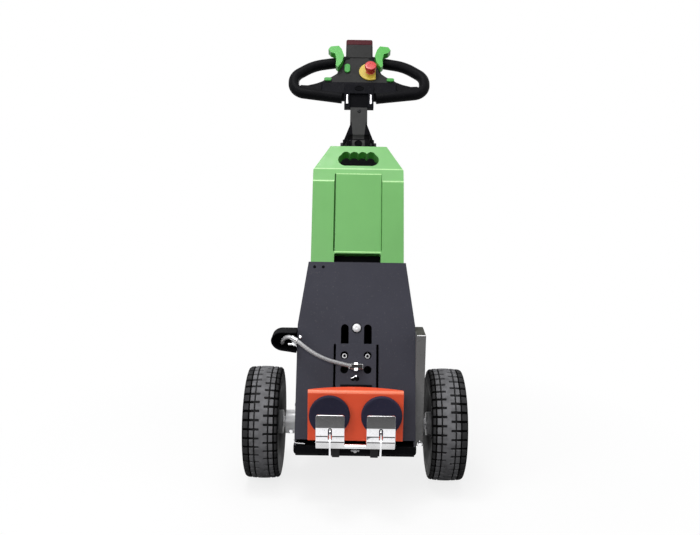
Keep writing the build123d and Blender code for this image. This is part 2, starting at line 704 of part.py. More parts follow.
with BuildPart() as stop_plate:
    with BuildSketch(head_plane(HEAD_ABOVE)):
        with Locations((STOP_ACROSS, STOP_ALONG)):
            Circle(STOP_PLATE_RADIUS)
        with Locations((STOP_PLATE_EDGE - STOP_PLATE_RADIUS, STOP_ALONG)):
            Rectangle(2 * STOP_PLATE_RADIUS, 2 * STOP_PLATE_RADIUS, mode=Mode.INTERSECT)
    extrude(amount=STOP_PLATE_THICKNESS)
finish(stop_plate, "stop_plate")

with BuildPart() as stop_button:
    stem_foot = HEAD_ABOVE + STOP_PLATE_THICKNESS
    with BuildSketch(head_plane(stem_foot)):
        with Locations((STOP_ACROSS, STOP_ALONG)):
            Circle(STOP_STEM_RADIUS)
    extrude(amount=STOP_STEM_LENGTH)
    with BuildSketch(head_plane(stem_foot + STOP_STEM_LENGTH)):
        with Locations((STOP_ACROSS, STOP_ALONG)):
            Circle(STOP_CAP_RADIUS)
    extrude(amount=STOP_CAP_LENGTH)
finish(stop_button, "stop_button")

with BuildPart() as oval_button:
    with BuildSketch(head_plane(HEAD_ABOVE)):
        with Locations((-BUTTON_ACROSS, BUTTON_ALONG)):
            SlotOverall(BUTTON_LENGTH, BUTTON_WIDTH, rotation=90)
    extrude(amount=BUTTON_HEIGHT)
finish(oval_button, "oval_button")

with BuildPart() as wing_buttons:
    with BuildSketch(head_plane(HEAD_ABOVE)):
        with Locations(*[(sign * WING_BUTTON_ACROSS, WING_BUTTON_ALONG) for sign in SIDES]):
            SlotOverall(WING_BUTTON_LENGTH, WING_BUTTON_WIDTH)
    extrude(amount=BUTTON_HEIGHT)
finish(wing_buttons, "wing_buttons")

# Coupling

with BuildPart() as carriage:
    with BuildSketch(plate_plane(0)):
        with Locations((0, (CARRIAGE_TOP + CARRIAGE_FOOT) / 2)):
            Rectangle(2 * CARRIAGE_HALF_WIDTH, CARRIAGE_TOP - CARRIAGE_FOOT)
        for row in HOLE_ROWS:
            with Locations((-HOLE_ACROSS, row), (HOLE_ACROSS, row)):
                Circle(HOLE_RADIUS, mode=Mode.SUBTRACT)
    extrude(amount=CARRIAGE_THICKNESS)
finish(carriage, "carriage")

coupling_y = AXLE_Y - COUPLING_AHEAD
with BuildPart() as coupling_plate:
    with BuildSketch(side_plane(-COUPLING_HALF_WIDTH)):
        with BuildLine():
            Polyline(
                (coupling_y, COUPLING_FOOT),
                (coupling_y, COUPLING_TOP),
                (coupling_y + COUPLING_FLANGE_MIDDLE, COUPLING_TOP),
                (coupling_y + COUPLING_FLANGE_MIDDLE, COUPLING_TOP - COUPLING_PLATE),
                (coupling_y + COUPLING_PLATE, COUPLING_TOP - COUPLING_PLATE),
                (coupling_y + COUPLING_PLATE, COUPLING_FOOT),
                close=True,
            )
        make_face()
    extrude(amount=2 * COUPLING_HALF_WIDTH)
    bend_edges = coupling_plate.edges().filter_by(Axis.X).filter_by(
        lambda e: abs(e.center().Y - coupling_y) < 0.01 and abs(e.center().Z - COUPLING_TOP) < 0.01
    )
    fillet(bend_edges, COUPLING_BEND)
    with BuildSketch(Plane.XY.offset(COUPLING_TOP - COUPLING_FOOT)):
        with BuildLine():
            flange_end = coupling_y + COUPLING_FLANGE_END
            flange_middle = coupling_y + COUPLING_FLANGE_MIDDLE
            ThreePointArc(
                (-COUPLING_HALF_WIDTH, flange_end), (0, flange_middle), (COUPLING_HALF_WIDTH, flange_end)
            )
            Polyline(
                (COUPLING_HALF_WIDTH, flange_end),
                (COUPLING_HALF_WIDTH, coupling_y),
                (-COUPLING_HALF_WIDTH, coupling_y),
                (-COUPLING_HALF_WIDTH, flange_end),
            )
        make_face()
    extrude(amount=COUPLING_TOP, both=True, mode=Mode.INTERSECT)
finish(coupling_plate, "coupling_plate")

with BuildPart() as coupling_gussets:
    for across in (-GUSSET_ACROSS, GUSSET_ACROSS):
        with BuildSketch(side_plane(across - GUSSET_THICKNESS / 2)):
            carriage_foot = along_plate((GUSSET_FOOT - PLATE_FOOT_HEIGHT) / LEAN_COS, -CARRIAGE_THICKNESS)
            carriage_top = along_plate((GUSSET_TOP - PLATE_FOOT_HEIGHT) / LEAN_COS, -CARRIAGE_THICKNESS)
            Polygon(
                (coupling_y + COUPLING_PLATE, carriage_foot[1]),
                (coupling_y + COUPLING_PLATE, carriage_top[1]),
                carriage_top,
                carriage_foot,
                align=None,
            )
        extrude(amount=GUSSET_THICKNESS)
finish(coupling_gussets, "coupling_gussets")

with BuildPart() as buffers:
    with BuildSketch(Plane.XZ.offset(-coupling_y)):
        with Locations((-BUFFER_ACROSS, BUFFER_HEIGHT), (BUFFER_ACROSS, BUFFER_HEIGHT)):
            Circle(BUFFER_RADIUS)
    extrude(amount=BUFFER_THICKNESS)
finish(buffers, "buffers")

hook_front = coupling_y - HOOK_REACH
rib_front = hook_front - RIB_PROUD
rib_foot = COUPLING_FOOT - RIB_DROP
bend_middle = HOOK_BEND * (1 - cos(radians(45)))
inner_middle = bend_middle + HOOK_PLATE * cos(radians(45))
bar_y = coupling_y - HOOK_BAR_SETBACK
bar_z = COUPLING_FOOT - RIB_DROP / 2
with BuildPart() as hooks:
    for sign in SIDES:
        with BuildSketch(side_plane(sign * HOOK_ACROSS - HOOK_WIDTH / 2)):
            with BuildLine():
                Line((coupling_y, COUPLING_FOOT), (hook_front + HOOK_BEND, COUPLING_FOOT))
                ThreePointArc(
                    (hook_front + HOOK_BEND, COUPLING_FOOT),
                    (hook_front + bend_middle, COUPLING_FOOT + bend_middle),
                    (hook_front, COUPLING_FOOT + HOOK_BEND),
                )
                Polyline(
                    (hook_front, COUPLING_FOOT + HOOK_BEND),
                    (hook_front, HOOK_TOP),
                    (hook_front + HOOK_PLATE, HOOK_TOP),
                    (hook_front + HOOK_PLATE, COUPLING_FOOT + HOOK_BEND),
                )
                ThreePointArc(
                    (hook_front + HOOK_PLATE, COUPLING_FOOT + HOOK_BEND),
                    (hook_front + inner_middle, COUPLING_FOOT + inner_middle),
                    (hook_front + HOOK_BEND, COUPLING_FOOT + HOOK_PLATE),
                )
                Polyline(
                    (hook_front + HOOK_BEND, COUPLING_FOOT + HOOK_PLATE),
                    (coupling_y, COUPLING_FOOT + HOOK_PLATE),
                    (coupling_y, COUPLING_FOOT),
                )
            make_face()
        extrude(amount=HOOK_WIDTH)
    lip_corners = hooks.edges().filter_by(Axis.Y).group_by(Axis.Z)[-1]
    fillet(lip_corners, HOOK_CORNER)
    with BuildSketch(Plane.XZ.offset(-hook_front - HOOK_BEND)):
        slot_z = (HOOK_SLOT_FOOT + HOOK_SLOT_TOP) / 2
        with Locations((-HOOK_ACROSS, slot_z), (HOOK_ACROSS, slot_z)):
            SlotOverall(HOOK_SLOT_TOP - HOOK_SLOT_FOOT, HOOK_SLOT_WIDTH, rotation=90)
    extrude(amount=2 * HOOK_BEND, mode=Mode.SUBTRACT)
finish(hooks, "hooks")

with BuildPart() as hook_ribs:
    for sign in SIDES:
        with BuildSketch(side_plane(sign * HOOK_ACROSS - RIB_THICKNESS / 2)):
            Polygon(
                (coupling_y - HOOK_PLATE, COUPLING_FOOT),
                (coupling_y - HOOK_PLATE, rib_foot),
                (hook_front + HOOK_BEND / 2, rib_foot),
                (rib_front, COUPLING_FOOT + HOOK_BEND),
                (rib_front, HOOK_SLOT_FOOT),
                (hook_front, HOOK_SLOT_FOOT + RIB_PROUD),
                (hook_front + HOOK_BEND, COUPLING_FOOT + HOOK_BEND),
                align=None,
            )
            with Locations((bar_y, bar_z)):
                Circle(HOOK_BAR_RADIUS, mode=Mode.SUBTRACT)
            with Locations((hook_front + HOOK_BEND, COUPLING_FOOT + HOOK_BEND)):
                Circle(HOOK_BEND, mode=Mode.SUBTRACT)
            with Locations((hook_front + 2 * HOOK_BEND, COUPLING_FOOT + HOOK_BEND)):
                Rectangle(2 * HOOK_BEND, 2 * HOOK_BEND, mode=Mode.SUBTRACT)
            with Locations((hook_front + HOOK_BEND, COUPLING_FOOT + 2 * HOOK_BEND)):
                Rectangle(2 * HOOK_BEND, 2 * HOOK_BEND, mode=Mode.SUBTRACT)
        extrude(amount=RIB_THICKNESS)
finish(hook_ribs, "hook_ribs")

with BuildPart() as hook_bar:
    with BuildSketch(side_plane(-HOOK_BAR_HALF_LENGTH)):
        with Locations((bar_y, bar_z)):
            Circle(HOOK_BAR_RADIUS)
    extrude(amount=2 * HOOK_BAR_HALF_LENGTH)
finish(hook_bar, "hook_bar")

# Side fittings: an equipment box on the right, and the coupling release on the left

with BuildPart() as side_box:
    with BuildSketch(Plane.XY.offset(HOUSING_FOOT)):
        box_width = HOUSING_OUTER - PLATE_HALF_WIDTH
        box_depth = HOUSING_REAR - HOUSING_FRONT
        with Locations((PLATE_HALF_WIDTH + box_width / 2, AXLE_Y + HOUSING_FRONT + box_depth / 2)):
            Rectangle(box_width, box_depth)
    extrude(amount=HOUSING_TOP - HOUSING_FOOT)
    with BuildSketch(side_plane(0)):
        with Locations((AXLE_Y, AXLE_HEIGHT)):
            Circle(HUB_RADIUS + RUNNING_GAP)
    extrude(amount=TRACK, mode=Mode.SUBTRACT)
finish(side_box, "side_box")

cup_height = CUP_TOP - CUP_FOOT
cup_middle = (CUP_TOP + CUP_FOOT) / 2
cup_width = CUP_OUTER - PLATE_HALF_WIDTH
with BuildPart() as release_cup:
    with BuildSketch(Plane.XZ.offset(-AXLE_Y - CUP_REAR)):
        with Locations((-CUP_OUTER + cup_height / 2, cup_middle)):
            Circle(cup_height / 2)
        straight = cup_width - cup_height / 2
        with Locations((-PLATE_HALF_WIDTH - straight / 2, cup_middle)):
            Rectangle(straight, cup_height)
    extrude(amount=CUP_REAR - CUP_FRONT)
    with BuildSketch(Plane.XZ.offset(-AXLE_Y - CUP_REAR + CUP_WALL)):
        with Locations((-CUP_OUTER + cup_height / 2, cup_middle)):
            Circle(cup_height / 2 - CUP_WALL)
        with Locations((-PLATE_HALF_WIDTH - straight / 2, cup_middle)):
            Rectangle(straight, cup_height - 2 * CUP_WALL)
    extrude(amount=CUP_REAR - CUP_FRONT, mode=Mode.SUBTRACT)
finish(release_cup, "release_cup")

# The braided release cable runs from the cup's back wall, over the plate's edge, to the carriage.
# Columns: share of the span across, share of the reach forward, share of the rise above its start.
CABLE_ROUTE = (
    (0.000, 0.00, 0.00),
    (0.000, 0.29, 0.00),
    (0.032, 0.50, 0.64),
    (0.108, 0.69, 1.00),
    (0.215, 0.79, 0.76),
    (0.329, 0.82, 0.08),
    (0.468, 0.85, -0.56),
    (0.646, 0.92, -1.12),
    (0.823, 0.98, -1.44),
    (1.000, 1.00, -1.60),
)
cable_x = CABLE_END_X - CABLE_SPAN
cable_y = AXLE_Y + CUP_REAR - CUP_WALL
cable_z = CUP_FOOT + CABLE_START_ABOVE
cable_route = [
    Vector(cable_x + CABLE_SPAN * across, cable_y - CABLE_REACH * ahead, cable_z + CABLE_RISE * up)
    for across, ahead, up in CABLE_ROUTE
]
cable_radii = []
for before, corner, after in zip(cable_route, cable_route[1:], cable_route[2:]):
    turn = (corner - before).get_angle(after - corner)
    shorter_run = min((corner - before).length, (after - corner).length)
    cable_radii.append(0.45 * shorter_run / tan(radians(turn / 2)))
print("cable bend radii", [round(r) for r in cable_radii])
with BuildPart() as release_cable:
    with BuildLine():
        cable_path = FilletPolyline(*cable_route, radius=cable_radii)
    with BuildSketch(Plane(origin=cable_path @ 0, z_dir=cable_path % 0)):
        Circle(CABLE_RADIUS)
    sweep(path=cable_path)
finish(release_cable, "release_cable")

with BuildPart() as cable_fitting:
    fitting_end = cable_path @ 1
    with BuildSketch(Plane(origin=fitting_end, z_dir=cable_path % 1)):
        Circle(FITTING_RADIUS)
    extrude(amount=2 * FITTING_RADIUS)
    fitting_foot = Vector(fitting_end) + (cable_path % 1) * FITTING_RADIUS
    with BuildSketch(Plane(origin=fitting_foot, x_dir=(1, 0, 0), z_dir=(0, LEAN_COS, -LEAN_SIN))):
        Circle(FITTING_RADIUS - 1)
    extrude(until=Until.NEXT, target=carriage.part)
finish(cable_fitting, "cable_fitting")

# Drive unit and axle

with BuildPart() as drive_unit:
    with BuildSketch(Plane.XY.offset(GEARBOX_FOOT)):
        with Locations((0, AXLE_Y)):
            Rectangle(2 * GEARBOX_HALF_WIDTH, 2 * GEARBOX_HALF_LENGTH)
    extrude(amount=GEARBOX_TOP - GEARBOX_FOOT)
    with BuildSketch(Plane.XZ.offset(-AXLE_Y)):
        with Locations((0, MOTOR_HEIGHT)):
            Circle(MOTOR_RADIUS)
    extrude(amount=-MOTOR_LENGTH)
    with BuildSketch(side_plane(-GEARBOX_HALF_WIDTH)):
        with Locations((AXLE_Y, AXLE_HEIGHT)):
            Circle(AXLE_RADIUS + RUNNING_GAP)
    extrude(amount=AXLE_GRIP, mode=Mode.SUBTRACT)
    with BuildSketch(side_plane(GEARBOX_HALF_WIDTH - AXLE_GRIP)):
        with Locations((AXLE_Y, AXLE_HEIGHT)):
            Circle(AXLE_RADIUS + RUNNING_GAP)
    extrude(amount=AXLE_GRIP, mode=Mode.SUBTRACT)
finish(drive_unit, "drive_unit")

hub_inner = WHEEL_X - TYRE_WIDTH / 2 - MOVING_GAP / 2
housing_end = hub_inner - MOVING_GAP
axle_end = WHEEL_X + RIM_WIDTH / 2 - 2
with BuildPart() as axle_housings:
    for sign in SIDES:
        with BuildSketch(side_plane(sign * GEARBOX_HALF_WIDTH)):
            with Locations((AXLE_Y, AXLE_HEIGHT)):
                Circle(HUB_RADIUS)
                Circle(AXLE_RADIUS + RUNNING_GAP, mode=Mode.SUBTRACT)
        extrude(amount=sign * (housing_end - GEARBOX_HALF_WIDTH))
finish(axle_housings, "axle_housings")

for side, sign in NAMED_SIDES:
    with BuildPart() as axle:
        with BuildSketch(side_plane(sign * (GEARBOX_HALF_WIDTH - AXLE_GRIP + MOVING_GAP))):
            with Locations((AXLE_Y, AXLE_HEIGHT)):
                Circle(AXLE_RADIUS)
        extrude(amount=sign * (axle_end - GEARBOX_HALF_WIDTH + AXLE_GRIP - MOVING_GAP))
    finish(axle, f"axle_{side}")

    wheel_plane = Plane(origin=(sign * WHEEL_X, AXLE_Y, AXLE_HEIGHT), x_dir=(sign, 0, 0), z_dir=(0, -sign, 0))
    spin_axis = Axis(AXLE, (1, 0, 0))
    with BuildPart() as tyre:
        with BuildSketch(wheel_plane):
            with BuildLine():
                bead = RIM_WIDTH / 2
                bulge = TYRE_WIDTH / 2
                crown_edge = bulge - TYRE_SHOULDER_WIDTH
                crown_radius = TYRE_DIAMETER / 2
                edge_radius = crown_radius - TYRE_CROWN_DROP
                wall_radius = crown_radius - TYRE_SHOULDER_DROP
                round_x = crown_edge + 0.72 * TYRE_SHOULDER_WIDTH
                round_radius = wall_radius + 0.68 * (edge_radius - wall_radius)
                belly_radius = (RIM_RADIUS + wall_radius) / 2
                ThreePointArc((-bead, RIM_RADIUS), (TYRE_BELLY - bulge, belly_radius), (-bulge, wall_radius))
                ThreePointArc((-bulge, wall_radius), (-round_x, round_radius), (-crown_edge, edge_radius))
                ThreePointArc((-crown_edge, edge_radius), (0, crown_radius), (crown_edge, edge_radius))
                ThreePointArc((crown_edge, edge_radius), (round_x, round_radius), (bulge, wall_radius))
                ThreePointArc((bulge, wall_radius), (bulge - TYRE_BELLY, belly_radius), (bead, RIM_RADIUS))
                Line((bead, RIM_RADIUS), (-bead, RIM_RADIUS))
            make_face()
        revolve(axis=spin_axis)
    finish(tyre, f"tyre_{side}")

    with BuildPart() as rim:
        with BuildSketch(wheel_plane):
            with BuildLine():
                edge = RIM_WIDTH / 2
                ring_inner = RIM_RADIUS - RIM_WALL
                hub_foot = hub_inner - WHEEL_X
                web_in = 2
                web_out = web_in + RIM_WEB
                Polyline(
                    (-edge, RIM_RADIUS),
                    (edge, RIM_RADIUS),
                    (edge, ring_inner),
                    (web_out, ring_inner),
                    (web_out, HUB_RADIUS),
                    (edge - RIM_WALL, HUB_RADIUS),
                    (edge - RIM_WALL, AXLE_RADIUS),
                    (hub_foot, AXLE_RADIUS),
                    (hub_foot, HUB_RADIUS),
                    (web_in, HUB_RADIUS),
                    (web_in, ring_inner),
                    (-edge, ring_inner),
                    close=True,
                )
            make_face()
        revolve(axis=spin_axis)
    finish(rim, f"rim_{side}")

# Castor

plate_under = REAR_BASE_HEIGHT - CASTOR_PLATE_THICKNESS
with BuildPart() as castor_plate:
    with BuildSketch(Plane.XY.offset(plate_under)):
        with Locations((0, CASTOR_Y)):
            Rectangle(CASTOR_PLATE_WIDTH, CASTOR_PLATE_LENGTH)
            Circle(KINGPIN_RADIUS + RUNNING_GAP, mode=Mode.SUBTRACT)
    extrude(amount=CASTOR_PLATE_THICKNESS)
finish(castor_plate, "castor_plate")

wheel_y = CASTOR_Y - CASTOR_TRAIL
head_top = plate_under - RUNNING_GAP
leg_inner = CASTOR_WIDTH / 2 + MOVING_GAP
with BuildPart() as castor_fork:
    with BuildSketch(Plane.XY.offset(head_top - CASTOR_CROWN)):
        with Locations((0, CASTOR_Y)):
            Circle(CASTOR_HEAD_RADIUS)
    extrude(amount=CASTOR_CROWN)
    with BuildSketch(Plane.XY.offset(head_top)):
        with Locations((0, CASTOR_Y)):
            Circle(KINGPIN_RADIUS)
    extrude(amount=REAR_BASE_HEIGHT + REAR_BASE_THICKNESS - head_top)
    for start in (-leg_inner - CASTOR_LEG, leg_inner):
        with BuildSketch(side_plane(start)):
            with BuildLine():
                leg_half = CASTOR_HEAD_RADIUS * 0.72
                leg_top = head_top
                leg_end = 2.5 * CASTOR_AXLE_RADIUS
                Polyline(
                    (wheel_y - leg_end, CASTOR_RADIUS),
                    (CASTOR_Y - leg_half, leg_top),
                    (CASTOR_Y + leg_half, leg_top),
                    (wheel_y + leg_end, CASTOR_RADIUS),
                )
                ThreePointArc(
                    (wheel_y + leg_end, CASTOR_RADIUS),
                    (wheel_y, CASTOR_RADIUS - leg_end),
                    (wheel_y - leg_end, CASTOR_RADIUS),
                )
            make_face()
            with Locations((wheel_y, CASTOR_RADIUS)):
                Circle(CASTOR_AXLE_RADIUS, mode=Mode.SUBTRACT)
        extrude(amount=CASTOR_LEG)
finish(castor_fork, "castor_fork")

with BuildPart() as castor_axle:
    axle_half = leg_inner + CASTOR_LEG + MOVING_GAP
    with BuildSketch(side_plane(-axle_half)):
        with Locations((wheel_y, CASTOR_RADIUS)):
            Circle(CASTOR_AXLE_RADIUS)
    extrude(amount=2 * axle_half)
finish(castor_axle, "castor_axle")

with BuildPart() as castor_hub:
    with BuildSketch(side_plane(-CASTOR_WIDTH / 2)):
        with Locations((wheel_y, CASTOR_RADIUS)):
            Circle(CASTOR_HUB_RADIUS)
            Circle(CASTOR_AXLE_RADIUS + RUNNING_GAP, mode=Mode.SUBTRACT)
    extrude(amount=CASTOR_WIDTH)
finish(castor_hub, "castor_hub")

with BuildPart() as castor_tyre:
    with BuildSketch(side_plane(-CASTOR_WIDTH / 2)):
        with Locations((wheel_y, CASTOR_RADIUS)):
            Circle(CASTOR_RADIUS)
            Circle(CASTOR_HUB_RADIUS, mode=Mode.SUBTRACT)
    extrude(amount=CASTOR_WIDTH)
    fillet(castor_tyre.edges().filter_by(GeomType.CIRCLE).group_by(SortBy.RADIUS)[-1], CASTOR_WIDTH / 6)
finish(castor_tyre, "castor_tyre")
print("axle y", AXLE_Y, "pivot", AXLE_Y + PIVOT_BEHIND, PIVOT_HEIGHT, "head", AXLE_Y + HEAD_BEHIND, HEAD_HEIGHT)
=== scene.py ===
# %% [markdown]
# # An electric tow tractor, dressed in Blender
#
# The machine is a walk-behind tug: two block-tread drive wheels, a leaning grey front plate,
# a green lift-out battery, a black tiller with loop grips, and an orange coupling with two plated
# hooks. Its solids were drawn beforehand and arrive as a fixed frame. Here they get their finishes,
# and the small forms that a solid model leaves out are modelled on top of them.

import json
from math import cos, pi, radians, sin

import bpy
from mathutils import Matrix, Vector


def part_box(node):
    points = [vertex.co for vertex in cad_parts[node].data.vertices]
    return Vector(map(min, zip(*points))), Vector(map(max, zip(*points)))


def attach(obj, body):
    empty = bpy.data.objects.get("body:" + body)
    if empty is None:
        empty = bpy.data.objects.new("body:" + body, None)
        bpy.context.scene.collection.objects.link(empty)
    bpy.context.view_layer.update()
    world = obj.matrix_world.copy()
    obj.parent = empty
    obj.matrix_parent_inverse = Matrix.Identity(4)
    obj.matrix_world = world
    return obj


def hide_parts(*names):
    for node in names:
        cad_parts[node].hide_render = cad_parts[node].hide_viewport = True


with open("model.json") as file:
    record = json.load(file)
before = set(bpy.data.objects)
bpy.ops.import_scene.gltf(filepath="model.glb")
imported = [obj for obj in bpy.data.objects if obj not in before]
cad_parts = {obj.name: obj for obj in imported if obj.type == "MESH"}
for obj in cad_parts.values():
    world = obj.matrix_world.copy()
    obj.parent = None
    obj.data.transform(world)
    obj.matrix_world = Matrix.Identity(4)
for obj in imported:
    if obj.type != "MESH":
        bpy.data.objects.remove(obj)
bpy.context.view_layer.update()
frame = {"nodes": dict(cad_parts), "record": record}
nodes = frame["nodes"]
bodies = frame["record"]["behaviour"]["bodies"]
body_of = {node: body for body, members in bodies.items() for node in members}

# %% [markdown]
# ## Working planes
#
# Nearly everything on this machine leans. The front plate and the battery lean back by 22 degrees,
# the tiller shaft by 25 and the head's panel by 40. Each gets a working plane here, so that a piece
# can be modelled flat at the origin and then laid on its plane, in millimetres across, along and out
# of it. That is easier to read than world coordinates and follows the drawing.

# %% Working planes
def corners(node):
    """The lowest and the highest corner of a solid."""
    return [Vector(corner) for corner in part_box(node)]


def middle(node):
    """The middle of a solid's box."""
    low, high = corners(node)
    return (low + high) / 2


def tipped(origin, lean):
    """Plane through origin: X across, Y up the lean, Z out towards the coupling."""
    up = Vector((0, sin(radians(lean)), cos(radians(lean))))
    out = Vector((0, -up.z, up.y))
    plane = Matrix((Vector((1, 0, 0)), up, out)).transposed().to_4x4()
    plane.translation = origin
    return plane


def at(plane, across, along, out):
    """Matrix of a spot on a working plane, given in millimetres."""
    return plane @ Matrix.Translation((across / 1000, along / 1000, out / 1000))


def spot(place, angle=0.0, axis="Y"):
    """Matrix of a place in metres, turned about one axis."""
    return Matrix.Translation(place) @ Matrix.Rotation(angle, 4, axis)


AXLE_Y = middle("axle_left").y
AXLE_Z = 0.130
WHEEL_X = 0.2115
PIVOT = middle("tiller_pin")
PLATE_LEAN, SHAFT_LEAN, PANEL_LEAN = 22, 25, 40
PLATE_FOOT = Vector((0, AXLE_Y - 0.140, 0.142))
HEAD_UP_SHAFT = 0.135
PLATE = tipped(PLATE_FOOT, PLATE_LEAN)
SHAFT = tipped(PIVOT, SHAFT_LEAN)
HEAD = tipped(SHAFT @ Vector((0, HEAD_UP_SHAFT, 0)), PANEL_LEAN)
FRONT = tipped(Vector((0, AXLE_Y, 0)), 0)
to_plate, to_shaft, to_head = (plane.inverted() for plane in (PLATE, SHAFT, HEAD))
plate_up, plate_out = (PLATE.to_3x3() @ Vector(way) for way in ((0, 1, 0), (0, 0, 1)))
print("axle at", round(AXLE_Y, 4), "pivot at", tuple(round(v, 4) for v in PIVOT))

# %% [markdown]
# ## The camera
#
# The picture was taken from the coupling end, a little above the battery, with the camera tipped
# down and turned by less than a degree. Its distance follows from the tyres: they are 260 mm
# across, so their height in the picture gives the distance once the lens is known.

# %% Camera
def new_object(name, data):
    """Adds an object to the scene."""
    made = bpy.data.objects.new(name, data)
    bpy.context.scene.collection.objects.link(made)
    return made


FOCAL_PIXELS, PICTURE_PIXELS = 787, 700
SENSOR_WIDTH = 36.0
CAMERA_PLACE = (-0.0166, AXLE_Y - 1.780, 0.800)
CAMERA_TIP, CAMERA_ROLL = 80.5, 0.87
camera_data = bpy.data.cameras.new("camera")
camera_data.sensor_width = SENSOR_WIDTH
camera_data.lens = FOCAL_PIXELS * SENSOR_WIDTH / PICTURE_PIXELS
camera = new_object("camera", camera_data)
rolled = Matrix.Rotation(radians(CAMERA_ROLL), 4, "Z")
camera.matrix_world = spot(CAMERA_PLACE, radians(CAMERA_TIP), "X") @ rolled
bpy.context.scene.camera = camera
print("camera at", tuple(round(v, 3) for v in camera.matrix_world.translation))

# %% [markdown]
# ## The release cable's line
#
# A braided cable comes out of the black cup, climbs over the plate's edge and drops to a fitting on
# the carriage. A cable has no corners, so its line is one NURBS curve. Its points are those of the
# drawing, with the last five raised by a few millimetres to meet the picture. The curve is made first
# because the tube, its ferrule and its length all read from it.

# %% Cable line
# share of the span across, share of the reach ahead, share of the rise
CABLE_ROUTE = (
    (0.000, 0.00, 0.00),
    (0.000, 0.29, 0.00),
    (0.032, 0.50, 0.64),
    (0.108, 0.69, 1.00),
    (0.215, 0.79, 0.76),
    (0.329, 0.82, 0.18),
    (0.468, 0.85, -0.44),
    (0.646, 0.92, -0.92),
    (0.823, 0.98, -1.20),
    (1.000, 1.00, -1.44),
)
CABLE_FOOT = Vector((-0.168, AXLE_Y - 0.039, 0.334))
CABLE_SPAN, CABLE_REACH, CABLE_RISE = 0.158, 0.062, 0.025
CABLE_RADIUS = 0.0045
cable_curve = bpy.data.curves.new("release_cable_line", "CURVE")
cable_curve.dimensions = "3D"
cable_curve.resolution_u = 12
line = cable_curve.splines.new("NURBS")
line.points.add(len(CABLE_ROUTE) - 1)
for point, (across, ahead, up) in zip(line.points, CABLE_ROUTE):
    place = CABLE_FOOT + Vector((CABLE_SPAN * across, -CABLE_REACH * ahead, CABLE_RISE * up))
    point.co = (*place, 1)
line.order_u = 3
line.use_endpoint_u = True
cable_line = new_object("release_cable_line", cable_curve)
bpy.context.view_layer.update()
thread = bpy.data.meshes.new_from_object(cable_line)
cable_points = [v.co.copy() for v in thread.vertices]

# %% [markdown]
# ## Hand tools
#
# These few helpers do what a modeller's hands do: select one object, go into edit mode, round the
# sharp edges, spin a profile, lay a piece on its plane. A piece is finished by `settle`, which gives
# it a name, a paint, a body to ride on, and the solid that it stands for.

# %% Hand tools
def pick(piece):
    """Selects one object and nothing else."""
    bpy.ops.object.select_all(action="DESELECT")
    piece.select_set(True)
    bpy.context.view_layer.objects.active = piece
    return piece


def rework(piece):
    """Goes into edit mode with the whole mesh selected."""
    pick(piece)
    bpy.ops.object.mode_set(mode="EDIT")
    bpy.ops.mesh.select_mode(type="VERT")
    bpy.ops.mesh.select_all(action="SELECT")


def choose(piece, test, kind="FACE"):
    """In edit mode, selects the faces or edges of a mesh that pass a test."""
    bpy.ops.mesh.select_mode(type=kind)
    bpy.ops.mesh.select_all(action="DESELECT")
    bpy.ops.object.mode_set(mode="OBJECT")
    for part in piece.data.polygons if kind == "FACE" else piece.data.edges:
        part.select = bool(test(part))
    bpy.ops.object.mode_set(mode="EDIT")


def choose_edges(piece, test):
    """Selects the edges whose two ends both pass a test on their place."""
    choose(piece, lambda edge: all(test(piece.data.vertices[v].co) for v in edge.vertices), "EDGE")


def leave(piece):
    """Goes back to object mode."""
    bpy.ops.object.mode_set(mode="OBJECT")
    return piece


def soften(piece, width, rings=2, angle=30):
    """Rounds the sharp edges by a width in millimetres."""
    pick(piece)
    edge = piece.modifiers.new("soft_edges", "BEVEL")
    edge.width = width / 1000
    edge.segments = rings
    edge.limit_method = "ANGLE"
    edge.angle_limit = radians(angle)
    edge.miter_outer = "MITER_ARC"
    bpy.ops.object.modifier_apply(modifier=edge.name)
    return piece


def lay(piece, matrix):
    """Puts a piece that was modelled at the origin on its plane, with its place in its mesh."""
    piece.matrix_world = matrix
    pick(piece)
    bpy.ops.object.transform_apply(location=True, rotation=True, scale=True)
    return piece


def settle(piece, name, body, paint, smooth=35, stands_for=()):
    """Finishes a piece: name, shading, paint, body and the solids that it replaces."""
    pick(piece)
    bpy.ops.object.shade_smooth_by_angle(angle=radians(smooth))
    even = piece.modifiers.new("even_shading", "WEIGHTED_NORMAL")
    even.keep_sharp = True
    bpy.ops.object.modifier_apply(modifier=even.name)
    piece.name = name
    piece.data.name = name
    piece.data.materials.clear()
    piece.data.materials.append(paint)
    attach(piece, body)
    if stands_for:
        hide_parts(*stands_for)
    return piece


def second_paint(piece, paint, test):
    """Gives the faces that pass a test another paint."""
    piece.data.materials.append(paint)
    for face in piece.data.polygons:
        if test(face):
            face.material_index = len(piece.data.materials) - 1


def joined(*pieces):
    """Joins pieces to the first of them."""
    pick(pieces[0])
    for piece in pieces:
        piece.select_set(True)
    if len(pieces) > 1:
        bpy.ops.object.join()
    return pieces[0]


def pulled(points):
    """A line pulled out of one point, step by step, in millimetres. It stays in edit mode."""
    bpy.ops.object.select_all(action="DESELECT")
    bpy.ops.mesh.primitive_plane_add(size=0.001, location=(0, 0, 0))
    piece = bpy.context.object
    rework(piece)
    bpy.ops.mesh.merge(type="CENTER")
    bpy.ops.transform.translate(value=[v / 1000 for v in points[0]])
    for here, there in zip(points, points[1:]):
        step = [(b - a) / 1000 for a, b in zip(here, there)]
        bpy.ops.mesh.extrude_region_move(TRANSFORM_OT_translate={"value": step})
    bpy.ops.mesh.select_all(action="SELECT")
    return piece


